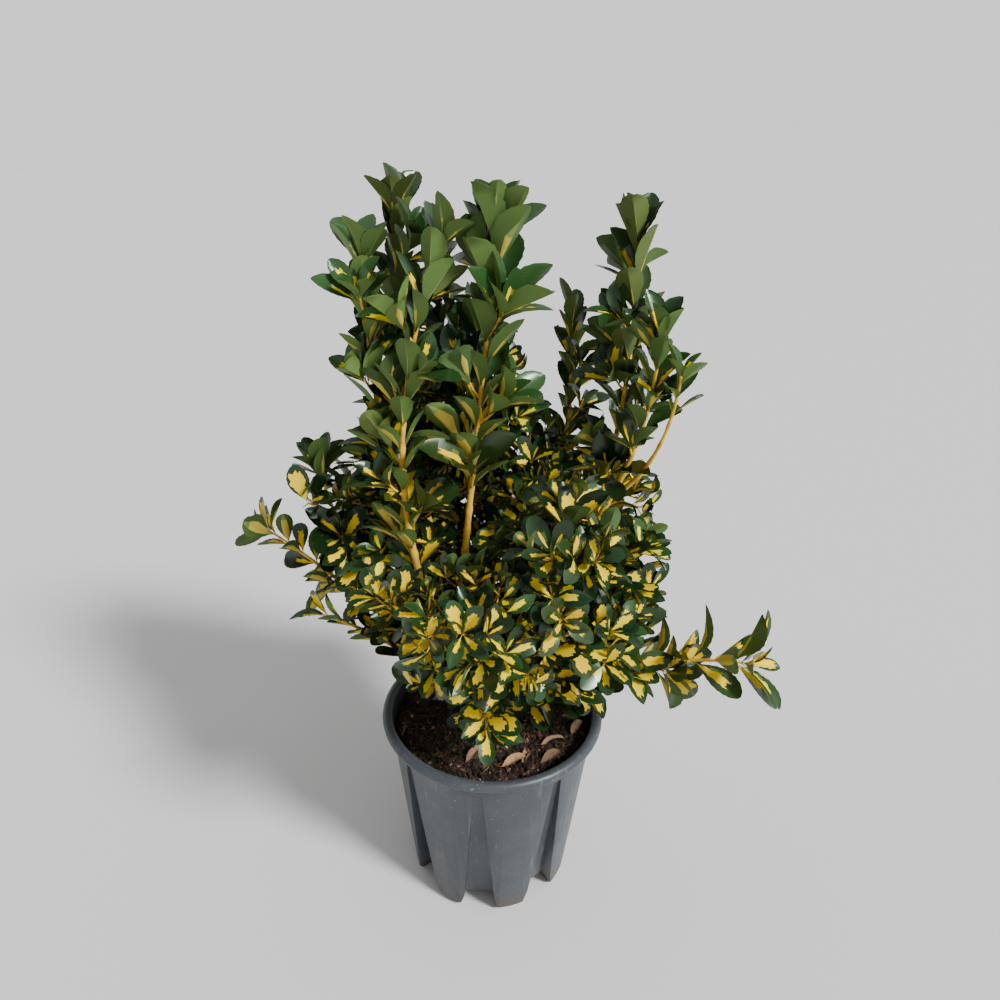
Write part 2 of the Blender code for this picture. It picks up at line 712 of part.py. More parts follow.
def grow_leaves(mass, index, spaces, standing, leaf_mesh, pieces):
    draw = mass.draw
    for root, along, turn, lean, size, carrier in leaf_sites(mass):
        for attempt in range(TRIES):
            outward = around(along, turn + LEAF_SWINGS[attempt])
            tilt = math.radians(lean + LEAF_TILTS[attempt] + draw.uniform(-4, 4))
            aim = along * math.cos(tilt) + outward * math.sin(tilt)
            aim = (aim + Vector((0.0, 0.0, SKYWARD))).normalized()
            upper = along * math.sin(tilt) - outward * math.cos(tilt)
            placing = leaf_frame(root, aim, upper, size * (1.0 - 0.06 * attempt))
            piece = Piece(leaf_mesh, placing, mass, root)
            if not above_underside(piece) or not spaces.holds(index, piece.samples()):
                continue
            own_twig = [carrier] if carrier else [other for other in standing
                                                  if other.owner is mass and other.root is None]
            if any(piece.touches(other) for other in standing
                   if other not in own_twig and other.root is not root):
                continue
            mass.leaves.append(piece)
            standing.append(piece)
            item = bpy.data.objects.new("leaf", leaf_mesh)
            item.matrix_world = placing
            pieces.objects.link(item)
            break


def twig_section(tools):
    """The three-sided outline that twigs are drawn with, of radius 1."""
    curve = bpy.data.curves.new("twig_section", "CURVE")
    curve.dimensions = "2D"
    spline = curve.splines.new("POLY")
    spline.points.add(2)
    spline.use_cyclic_u = True
    for n, knot in enumerate(spline.points):
        turn = n * 2 * math.pi / 3
        knot.co = (math.cos(turn), math.sin(turn), 0.0, 1.0)
    section = add_object("twig_section", curve, tools)
    hide_tool(section)
    return section


def join_mass(mass, parts, section, pieces):
    """Fuses the leaves and side twigs to the main twig in one union, and clears their objects away."""
    name = f"foliage_{mass.shoot.name}"
    item = meshed(add_object(name, tube(name, mass.line, mass.radii, section), parts))
    item.name = name
    boolean(item, pieces, "UNION")
    fused = evaluated_mesh(item)
    item.modifiers.clear()
    item.data = fused
    fused.materials.clear()
    fused.materials.append(finish_material(name, "foliage"))
    for piece in list(pieces.objects):
        bpy.data.objects.remove(piece)
    bpy.data.collections.remove(pieces)


def make_foliage(parts, tools, limbs, limb_pieces):
    section = twig_section(tools)
    leaf_mesh = make_leaf_mesh()
    masses = [Mass(shoot, limbs[shoot.name]) for shoot in SHOOTS]
    spaces = Spaces(masses)
    standing = list(limb_pieces)
    bins = []
    for mass in masses:
        pieces = bpy.data.collections.new(f"pieces_{mass.shoot.name}")
        tools.children.link(pieces)
        bins.append(pieces)
        twig = add_object("main_twig", tube("main_twig", mass.line, mass.radii, section), tools)
        standing.append(solid_piece(twig, mass))
        bpy.data.objects.remove(twig)
    for index, mass in enumerate(masses):
        grow_side_twigs(mass, index, spaces, standing, section, bins[index])
    for index, mass in enumerate(masses):
        grow_leaves(mass, index, spaces, standing, leaf_mesh, bins[index])
    for mass, pieces in zip(masses, bins):
        join_mass(mass, parts, section, pieces)
    bpy.data.meshes.remove(leaf_mesh)


def main():
    clear_scene()
    parts = make_collection(OBJECT_NAME)
    tools = make_collection("cutters")
    limbs, limb_pieces = make_limbs(parts)
    make_foliage(parts, tools, limbs, limb_pieces)
    make_pot(parts, tools)
    make_soil(parts, tools)


main()
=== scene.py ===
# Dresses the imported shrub: a bushy golden-variegated evergreen in a round nursery pot.
# Metres, +Z up. The origin is on the floor under the middle of the pot, and -Y is the front.
import json
import math
import random
from collections import namedtuple

import bmesh
import bpy
from mathutils import Matrix, Vector, noise

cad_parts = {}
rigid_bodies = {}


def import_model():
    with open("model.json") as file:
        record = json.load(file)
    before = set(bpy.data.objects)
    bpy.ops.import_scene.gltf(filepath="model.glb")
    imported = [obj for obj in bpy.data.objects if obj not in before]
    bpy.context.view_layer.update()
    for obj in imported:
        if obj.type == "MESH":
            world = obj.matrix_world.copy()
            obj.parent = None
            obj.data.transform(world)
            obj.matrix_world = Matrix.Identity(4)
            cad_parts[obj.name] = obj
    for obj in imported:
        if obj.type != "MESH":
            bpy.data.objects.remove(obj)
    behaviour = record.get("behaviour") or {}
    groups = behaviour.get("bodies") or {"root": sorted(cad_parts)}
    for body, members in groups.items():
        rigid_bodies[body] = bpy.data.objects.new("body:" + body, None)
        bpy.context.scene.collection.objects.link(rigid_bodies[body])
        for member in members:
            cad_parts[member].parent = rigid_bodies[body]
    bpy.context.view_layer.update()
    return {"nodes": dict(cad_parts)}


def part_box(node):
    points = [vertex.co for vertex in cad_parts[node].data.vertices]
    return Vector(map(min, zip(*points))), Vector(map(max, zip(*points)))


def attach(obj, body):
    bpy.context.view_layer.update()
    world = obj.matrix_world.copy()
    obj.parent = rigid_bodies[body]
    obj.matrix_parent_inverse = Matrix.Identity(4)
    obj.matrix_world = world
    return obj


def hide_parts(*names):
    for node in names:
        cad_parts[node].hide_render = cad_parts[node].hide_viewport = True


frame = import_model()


# Nodes and finishes

class Sock:
    # wraps a socket, so that a sum written on it adds Math nodes
    def __init__(self, maker, socket):
        self.maker, self.socket = maker, socket

    def reckon(self, operation, first, second):
        return self.maker.node("ShaderNodeMath", {"operation": operation}, {0: first, 1: second})

    def __add__(self, other):
        return self.reckon("ADD", self, other)

    def __radd__(self, other):
        return self.reckon("ADD", other, self)

    def __sub__(self, other):
        return self.reckon("SUBTRACT", self, other)

    def __rsub__(self, other):
        return self.reckon("SUBTRACT", other, self)

    def __mul__(self, other):
        return self.reckon("MULTIPLY", self, other)

    def __rmul__(self, other):
        return self.reckon("MULTIPLY", other, self)


class Maker:
    # adds nodes to a tree, for shaders and geometry alike
    def __init__(self, tree):
        self.tree = tree

    def give(self, socket, value):
        if isinstance(value, Sock):
            self.tree.links.new(value.socket, socket)
        elif value is not None:
            socket.default_value = value

    def node(self, kind, settings=None, inputs=None, out=0):
        made = self.tree.nodes.new(kind)
        for name, value in (settings or {}).items():
            if name == "stops":
                setStops(made.color_ramp, value)
            else:
                setattr(made, name, value)
        for name, value in (inputs or {}).items():
            self.give(made.inputs[name], value)
        return Sock(self, made.outputs[out])


def setStops(ramp, stops):
    while len(ramp.elements) < len(stops):
        ramp.elements.new(0.5)
    for element, (place, colour) in zip(ramp.elements, stops):
        element.position = place
        element.color = (*colour, 1.0)


class Finish(Maker):
    # a material: the constants go straight onto the shader's own sockets
    def __init__(self, name, colour, roughness, **more):
        self.material = bpy.data.materials.new(name)
        self.material.use_nodes = True
        super().__init__(self.material.node_tree)
        self.shader = self.tree.nodes["Principled BSDF"]
        self.put("Base Color", (*colour, 1.0))
        self.put("Roughness", roughness)
        for socket, value in more.items():
            self.put(socket.replace("_", " "), value)

    def put(self, socket, value):
        self.give(self.shader.inputs[socket], value)

    def place(self):
        return self.node("ShaderNodeTexCoord", out="Object")

    def height(self, where, low, high):
        # 0 at the low height, 1 at the high one
        tall = self.node("ShaderNodeSeparateXYZ", None, {"Vector": where}, out="Z")
        return self.node("ShaderNodeMapRange", None, {"Value": tall, "From Min": low, "From Max": high})

    def noise(self, scale, detail=3.0, where=None):
        return self.node("ShaderNodeTexNoise", None,
                         {"Vector": where or self.place(), "Scale": scale, "Detail": detail}, out="Fac")

    def ramp(self, value, low, high, lowColour=(0, 0, 0), highColour=(1, 1, 1)):
        stops = [(low, lowColour), (high, highColour)]
        return self.node("ShaderNodeValToRGB", {"stops": stops}, {"Fac": value}, out="Color")

    def mix(self, share, first, second):
        return self.node("ShaderNodeMix", {"data_type": "RGBA"}, {0: share, 6: first, 7: second}, out=2)

    def bump(self, height, strength, distance):
        self.put("Normal", self.node("ShaderNodeBump", None,
                                     {"Height": height, "Strength": strength, "Distance": distance}))


def rgba(colour):
    return (*colour, 1.0)


def link(item):
    bpy.context.scene.collection.objects.link(item)
    return item


def meshObject(bm, name, *materials):
    mesh = bpy.data.meshes.new(name)
    bm.to_mesh(mesh)
    bm.free()
    for material in materials:
        mesh.materials.append(material)
    return link(bpy.data.objects.new(name, mesh))


# Pot

potLook = {
    "plastic": (0.034, 0.042, 0.051),
    "worn": (0.058, 0.067, 0.076),
    "dust": (0.34, 0.34, 0.32),
    "mud": (0.120, 0.092, 0.068),
    "roughness": 0.40,
    "mudHeight": 0.045,  # how far up the feet the mud reaches
    "beadEase": (0.0016, 3),  # how wide and in how many steps the rim is rounded
    "edgeEase": (0.0007, 2),  # and every sharp edge
}


def potFinish():
    look = potLook
    finish = Finish("mouldedPlastic", look["plastic"], look["roughness"], Specular_IOR_Level=0.35)
    where = finish.place()
    patches = finish.ramp(finish.noise(9.0, 5.0, where), 0.42, 0.75)
    colour = finish.mix(patches, rgba(look["plastic"]), rgba(look["worn"]))
    streaks = finish.node("ShaderNodeMapping", None, {"Vector": where, "Scale": (1.0, 1.0, 0.12)})
    scuffs = finish.ramp(finish.noise(150.0, 4.0, streaks), 0.62, 0.72)
    colour = finish.mix(scuffs * 0.14, colour, rgba(look["dust"]))
    specks = finish.ramp(finish.noise(380.0, 2.0, where), 0.68, 0.74)
    colour = finish.mix(specks * 0.45, colour, rgba(look["dust"]))
    mud = (1 - finish.height(where, 0.0, look["mudHeight"])) * finish.ramp(finish.noise(60.0, 6.0, where),
                                                                          0.38, 0.62)
    colour = finish.mix(mud * 0.75, colour, rgba(look["mud"]))
    finish.put("Base Color", colour)
    finish.put("Roughness", finish.noise(30.0, 4.0, where) * 0.22 + (look["roughness"] - 0.10) + mud * 0.3)
    finish.bump(finish.noise(900.0, 2.0, where) + finish.noise(40.0, 3.0, where) * 0.6, 0.20, 0.0004)
    return finish.material


def eased(bm, steepest, gentlest, ease, keep):
    # rounds the edges whose faces turn by between these angles
    edges = [edge for edge in bm.edges if edge.is_manifold and keep(edge)
             and gentlest < math.degrees(edge.calc_face_angle(0.0)) <= steepest]
    width, steps = ease
    bmesh.ops.bevel(bm, geom=edges, offset=width, segments=steps, affect="EDGES", profile=0.5,
                    clamp_overlap=True)


def makePot():
    # the solid's own faces, merged, with the rim and every sharp edge rounded
    bm = bmesh.new()
    bm.from_mesh(frame["nodes"]["pot"].data)
    bmesh.ops.remove_doubles(bm, verts=bm.verts, dist=0.00001)
    bmesh.ops.dissolve_limit(bm, angle_limit=math.radians(0.7), verts=bm.verts, edges=bm.edges)
    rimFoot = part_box("pot")[1].z - 0.0135
    eased(bm, 60, 20, potLook["beadEase"], lambda edge: min(v.co.z for v in edge.verts) > rimFoot)
    eased(bm, 180, 40, potLook["edgeEase"], lambda edge: True)
    for face in bm.faces:
        face.smooth = True
    for edge in bm.edges:
        edge.smooth = edge.calc_face_angle(0.0) < math.radians(34)
    return meshObject(bm, "mouldedPot", potFinish())


# Limbs, by the rule that the solids were grown by

Shoot = namedtuple("Shoot", "name parent place heading reach top bow lift split kind")
Habit = namedtuple("Habit", "footRadius leaf pairStep sideTwigs sideLength finer reach leans forms"
                   " bare twigEnd rise tipLeaf hangs spin twist", defaults=(0.0, 0.91, 0.22, 0.95, False, 0.6, 0.5))

shrub = {
    "seed": 39,
    "gap": 0.0003,
    "soilHeight": 0.2125,
    "stemHeight": 0.060,
    "stemFlare": 0.0155,
    "stemRadius": 0.0105,
    "stemTopRadius": 0.0086,
    "stemLean": 0.004,
    "childRadius": 0.95,  # of a bough at most, as a share of what carries it
    "tipRadius": 0.0012,
    "twigRadius": 0.0017,
    "goldenTurn": 2.4,
    "mostOutside": 0.022,  # how far a leaf may stand out past its mass's reach
    "skyward": 0.30,  # how strongly a leaf turns up, against its own direction
}

shoots = [
    Shoot("left_leader", "stem", 0.90, -150, 0.060, 0.754, 0.062, 0.000, 0.34, "leader"),
    Shoot("left_outer_leader", "left_leader", 0.88, 178, 0.126, 0.732, 0.012, 0.000, 0.16, "leader"),
    Shoot("left_rear_leader", "stem", 0.96, 153, 0.112, 0.771, 0.030, -0.010, 0.40, "leader"),
    Shoot("middle_leader", "left_leader", 0.45, -100, 0.020, 0.759, 0.000, 0.000, 0.34, "leader"),
    Shoot("right_rear_leader", "stem", 0.97, 45, 0.106, 0.674, 0.036, -0.010, 0.42, "leader"),
    Shoot("right_leader", "stem", 0.76, 9, 0.128, 0.755, 0.040, -0.020, 0.52, "leader"),
    Shoot("right_fork", "right_leader", 0.92, -11, 0.149, 0.676, 0.012, 0.000, 0.22, "leader"),
    Shoot("right_fork_low", "right_fork", 0.90, -19, 0.172, 0.650, 0.010, -0.010, 0.50, "tuft"),
    Shoot("inner_rear", "left_rear_leader", 0.80, 118, 0.085, 0.655, 0.010, -0.010, 0.20, "crown"),
    Shoot("centre", "right_rear_leader", 0.50, 55, 0.061, 0.561, 0.000, 0.000, 0.26, "crown"),
    Shoot("left_shoulder", "stem", 0.66, 172, 0.116, 0.560, 0.022, -0.010, 0.34, "crown"),
    Shoot("left_cluster", "stem", 0.42, 178, 0.182, 0.525, 0.018, -0.030, 0.40, "crown"),
    Shoot("left_low", "left_cluster", 0.80, 169, 0.262, 0.435, 0.000, 0.010, 0.20, "reacher"),
    Shoot("left_skirt", "stem", 0.14, -168, 0.186, 0.382, 0.000, 0.020, 0.50, "reacher"),
    Shoot("front_left", "stem", 0.38, -130, 0.133, 0.440, 0.014, -0.015, 0.32, "crown"),
    Shoot("front_high", "stem", 0.70, -62, 0.135, 0.530, 0.026, -0.020, 0.34, "crown"),
    Shoot("front_middle", "stem", 0.56, -96, 0.158, 0.462, 0.020, -0.005, 0.38, "crown"),
    Shoot("front_low", "stem", 0.16, -94, 0.098, 0.300, 0.000, 0.006, 0.34, "tuft"),
    Shoot("front_right", "stem", 0.52, -44, 0.150, 0.420, 0.014, -0.010, 0.34, "crown"),
    Shoot("right_low", "stem", 0.32, -17, 0.268, 0.358, 0.000, 0.026, 0.42, "reacher"),
    Shoot("front_right_low", "stem", 0.17, -36, 0.122, 0.325, 0.000, 0.006, 0.34, "tuft"),
    Shoot("right_cluster", "stem", 0.52, 2, 0.155, 0.435, 0.016, -0.010, 0.30, "crown"),
    Shoot("right_rear", "stem", 0.66, 44, 0.170, 0.480, 0.026, -0.020, 0.36, "crown"),
    Shoot("back_left", "stem", 0.46, 134, 0.180, 0.470, 0.022, -0.020, 0.36, "crown"),
    Shoot("back_middle", "stem", 0.64, 102, 0.146, 0.460, 0.026, -0.012, 0.34, "crown"),
    Shoot("back_right", "stem", 0.46, 70, 0.160, 0.400, 0.018, -0.012, 0.32, "crown"),
    Shoot("back_low_left", "stem", 0.22, 122, 0.170, 0.330, 0.000, 0.004, 0.32, "skirt"),
    Shoot("back_low_right", "stem", 0.24, 34, 0.160, 0.320, 0.000, 0.004, 0.32, "skirt"),
]

habits = {
    # forms: the shares of cupped, spread and arched leaves. bare: the share of the main twig with no leaves.
    # twigEnd: how far up it side twigs stand. rise: their pull upwards. hangs: it may pass the underside.
    # spin: which way its first pair of leaves looks. twist: how far a leaf may turn about its own midrib.
    "leader": Habit(0.0052, 0.045, 0.021, 7, 0.024, 0, 0.045, (46, 24), (0.60, 0.12, 0.28), tipLeaf=1.20),
    "crown": Habit(0.0046, 0.035, 0.017, 16, 0.062, 2, 0.075, (66, 40), (0.20, 0.50, 0.30)),
    "skirt": Habit(0.0040, 0.036, 0.017, 12, 0.052, 2, 0.075, (66, 44), (0.10, 0.55, 0.35)),
    "reacher": Habit(0.0044, 0.040, 0.028, 3, 0.030, 0, 0.050, (58, 36), (0.45, 0.25, 0.30), twigEnd=0.4,
                     hangs=True, twist=1.0),
    "tuft": Habit(0.0032, 0.038, 0.016, 3, 0.022, 0, 0.040, (68, 58), (0.10, 0.65, 0.25), hangs=True),
}

# what the photograph shows to differ from the shoot's kind
ownWays = {
    "left_leader": {"pairStep": 0.022, "sideTwigs": 8, "sideLength": 0.026, "reach": 0.050, "rise": 0.30,
                    "tipLeaf": 1.05, "spin": 2.2},
    "left_outer_leader": {"sideLength": 0.027, "reach": 0.047, "leans": (50, 30), "rise": 0.54,
                          "tipLeaf": 1.25, "spin": 0.2},
    "left_rear_leader": {"sideTwigs": 8, "sideLength": 0.038, "reach": 0.038, "leans": (50, 20), "rise": 0.73,
                         "tipLeaf": 1.12, "spin": 1.8},
    "middle_leader": {"leaf": 0.058, "pairStep": 0.020, "sideLength": 0.030, "reach": 0.049, "leans": (44, 36),
                      "bare": 0.10, "rise": 0.53, "tipLeaf": 0.90, "spin": 2.3},
    "right_rear_leader": {"leaf": 0.037, "pairStep": 0.018, "sideTwigs": 9, "reach": 0.047, "leans": (54, 21),
                          "rise": 0.72, "tipLeaf": 1.13, "spin": 2.1},
    "right_leader": {"leaf": 0.048, "pairStep": 0.024, "sideLength": 0.028, "reach": 0.050, "leans": (58, 20),
                     "bare": 0.05, "tipLeaf": 1.05, "spin": 0.5},
    "right_fork": {"leaf": 0.042, "sideTwigs": 4, "sideLength": 0.020, "bare": 0.20, "rise": 0.72,
                   "tipLeaf": 1.10, "spin": 1.9},
    "right_fork_low": {"leaf": 0.035, "sideTwigs": 0, "leans": (50, 40), "bare": 0.45, "tipLeaf": 0.87,
                       "spin": 0.8},
    "inner_rear": {"leaf": 0.036, "sideTwigs": 15, "sideLength": 0.064, "leans": (70, 34), "spin": 2.4},
    "centre": {"leaf": 0.033, "sideLength": 0.063, "reach": 0.069, "leans": (62, 34), "spin": 1.7},
    "left_shoulder": {"leaf": 0.039, "sideTwigs": 12, "sideLength": 0.053, "reach": 0.055, "rise": 0.52,
                      "spin": 1.2},
    "left_cluster": {"leaf": 0.047, "pairStep": 0.022, "sideTwigs": 14, "sideLength": 0.052, "finer": 1,
                     "reach": 0.067, "leans": (60, 28), "rise": 0.42, "spin": 2.2},
    "left_low": {"leaf": 0.040, "pairStep": 0.019, "sideTwigs": 4, "sideLength": 0.029, "leans": (70, 50),
                 "bare": 0.20, "rise": 0.55, "tipLeaf": 1.03, "spin": 3.0},
    "left_skirt": {"leaf": 0.034, "pairStep": 0.019, "sideTwigs": 2, "sideLength": 0.024, "reach": 0.027,
                   "leans": (48, 24), "rise": 0.40, "tipLeaf": 0.90, "spin": 0.2},
    "front_left": {"sideLength": 0.042, "reach": 0.046, "rise": 0.71},
    "front_high": {"leaf": 0.039, "sideTwigs": 15, "tipLeaf": 1.15},
    "front_right": {"sideTwigs": 14, "sideLength": 0.064, "reach": 0.060, "leans": (58, 43), "rise": 0.63,
                    "spin": 1.3},
    "right_low": {"leaf": 0.052, "pairStep": 0.024, "sideLength": 0.040, "reach": 0.045, "leans": (60, 50),
                  "bare": 0.05, "rise": 0.64, "tipLeaf": 1.04, "spin": 1.9},
    "right_cluster": {"leaf": 0.039, "sideTwigs": 18, "sideLength": 0.056, "reach": 0.052, "spin": 1.8},
    "right_rear": {"reach": 0.073, "leans": (50, 42), "tipLeaf": 1.04, "spin": 0.2},
}


def polar(heading, reach, height):
    angle = math.radians(heading)
    return Vector((reach * math.cos(angle), reach * math.sin(angle), height))


def bend(foot, middle, tip, share):
    control = middle * 2 - (foot + tip) / 2
    rest = 1 - share
    return foot * rest * rest + control * 2 * rest * share + tip * share * share


class Limb:
    def __init__(self, foot, middle, tip, footRadius, tipRadius):
        self.foot, self.middle, self.tip = foot, middle, tip
        self.footRadius, self.tipRadius = footRadius, tipRadius

    def point(self, share):
        return bend(self.foot, self.middle, self.tip, share)

    def radius(self, share):
        return self.footRadius + (self.tipRadius - self.footRadius) * share

    def tangent(self, share):
        low, high = max(share - 0.01, 0.0), min(share + 0.01, 1.0)
        return (self.point(high) - self.point(low)).normalized()

    def length(self):
        return sum((self.point((n + 1) / 20) - self.point(n / 20)).length for n in range(20))


def seat(parent, place, direction, radius):
    along = parent.tangent(place)
    side = (direction - along * direction.dot(along)).normalized()
    steep = math.sqrt(max(0.0, 1 - direction.dot(side) ** 2))
    return parent.point(place) + side * (parent.radius(place) + shrub["gap"] + radius * steep)


def layLimbs():
    foot = Vector((0.0, 0.0, shrub["soilHeight"] + shrub["gap"]))
    tip = foot + Vector((-shrub["stemLean"], 0.0, shrub["stemHeight"]))
    limbs = {"stem": Limb(foot, (foot + tip) / 2, tip, shrub["stemRadius"], shrub["stemTopRadius"])}
    splits = {"stem": 1.0}
    for shoot in shoots:
        parent = limbs[shoot.parent]
        place = shoot.place * splits[shoot.parent]
        radius = min(habits[shoot.kind].footRadius, shrub["childRadius"] * parent.radius(place))
        tip = polar(shoot.heading, shoot.reach, shoot.top)
        outward = polar(shoot.heading, 1.0, 0.0)
        foot = parent.point(place)
        for n in range(3):
            middle = (foot + tip) / 2 + outward * shoot.bow + Vector((0.0, 0.0, shoot.lift))
            direction = (bend(foot, middle, tip, shoot.split / 4) - foot).normalized()
            foot = seat(parent, place, direction, radius)
        limbs[shoot.name] = Limb(foot, middle, tip, radius, shrub["tipRadius"])
        splits[shoot.name] = shoot.split
    return limbs


crownUnderside = {
    "height": 0.238,
    "front": 0.80,  # how steeply it rises towards the front
    "back": (0.090, 1.0, 0.050),  # where it starts to rise towards the back, how steeply, and for how far
    "left": ((0.060, 1.1), (0.150, 2.2)),  # where it starts to rise to the side, and how steeply
    "right": ((0.115, 2.4),),
}


def underside(point):
    # the lowest height of the crown's leaves at a point
    shape = crownUnderside
    start, slope, most = shape["back"]
    rise = shape["front"] * max(0.0, -point.y)
    if point.y > 0:
        rise = slope * min(max(0.0, math.hypot(point.x, point.y) - start), most)
    rise += sum(slope * max(0.0, -point.x - start) for start, slope in shape["left"])
    rise += sum(slope * max(0.0, point.x - start) for start, slope in shape["right"])
    return shape["height"] + rise


# Twigs and leaves grow on from the limbs

leafLook = {
    "rows": (0.0, 0.11, 0.24, 0.37, 0.50, 0.63, 0.76, 0.88, 1.0),  # shares of its length
    "belly": 0.60,  # where it is widest
    "base": 0.085,  # its width at the stalk, as a share of its widest
    "tooth": 0.040,
    "thickness": 0.012,
    "vein": 0.013,
    "stalk": 0.10,
    "stalkHalf": 0.015,
    "goldLevels": 8,
    "goldTop": 0.86,  # the height at which leaves carry the least gold
    "goldFoot": 0.36,  # and the most
    "leafGap": 0.0078,  # between two leaves' middles
    "limbGap": 0.0045,  # between a leaf's middle and a limb
    "mostInPiece": 1050,
}

leafForms = {
    # how far the sides stand up from the midrib, how far the tip curls back, how wide the leaf is
    # and how blunt its tip
    "cupped": (0.165, 0.09, 0.49, 0.70),
    "spread": (0.055, 0.12, 0.54, 0.56),
    "arched": (0.100, 0.32, 0.47, 0.74),
}

leafPlace = namedtuple("leafPlace", "root turn size shape palette")


class Room:
    # the points that are taken, in cells as wide as the gap between them
    def __init__(self, gap):
        self.gap, self.cells = gap, {}

    def cell(self, point):
        return tuple(math.floor(part / self.gap) for part in point)

    def taken(self, point):
        x, y, z = self.cell(point)
        return any((other - point).length < self.gap
                   for a in (x - 1, x, x + 1) for b in (y - 1, y, y + 1) for c in (z - 1, z, z + 1)
                   for other in self.cells.get((a, b, c), ()))

    def take(self, point):
        self.cells.setdefault(self.cell(point), []).append(point)


class Mass:
    # one shoot's foliage, and how far it may spread from its own main twig
    def __init__(self, shoot, limb):
        self.shoot, self.limb = shoot, limb
        self.habit = habits[shoot.kind]._replace(**ownWays.get(shoot.name, {}))
        self.draw = random.Random(f"{shrub['seed']} {shoot.name}")
        self.leaf = self.habit.leaf
        self.spots = [self.at(n / 24)[0] for n in range(25)]
        self.limit = self.habit.reach + shrub["mostOutside"]

    def at(self, part):
        share = self.shoot.split + (1 - self.shoot.split) * part
        return self.limb.point(share), self.limb.tangent(share)

    def length(self):
        return self.limb.length() * (1 - self.shoot.split)

    def holds(self, point, spare=0.0):
        lowest = shrub["soilHeight"] + 0.012 if self.habit.hangs else underside(point)
        return point.z > lowest and min((point - spot).length for spot in self.spots) < self.limit - spare


def around(along, turn):
    side = along.cross(Vector((0.0, 0.0, 1.0)))
    if side.length < 0.05:
        side = along.cross(Vector((0.0, 1.0, 0.0)))
    side.normalize()
    return side * math.cos(turn) + side.cross(along) * math.sin(turn)


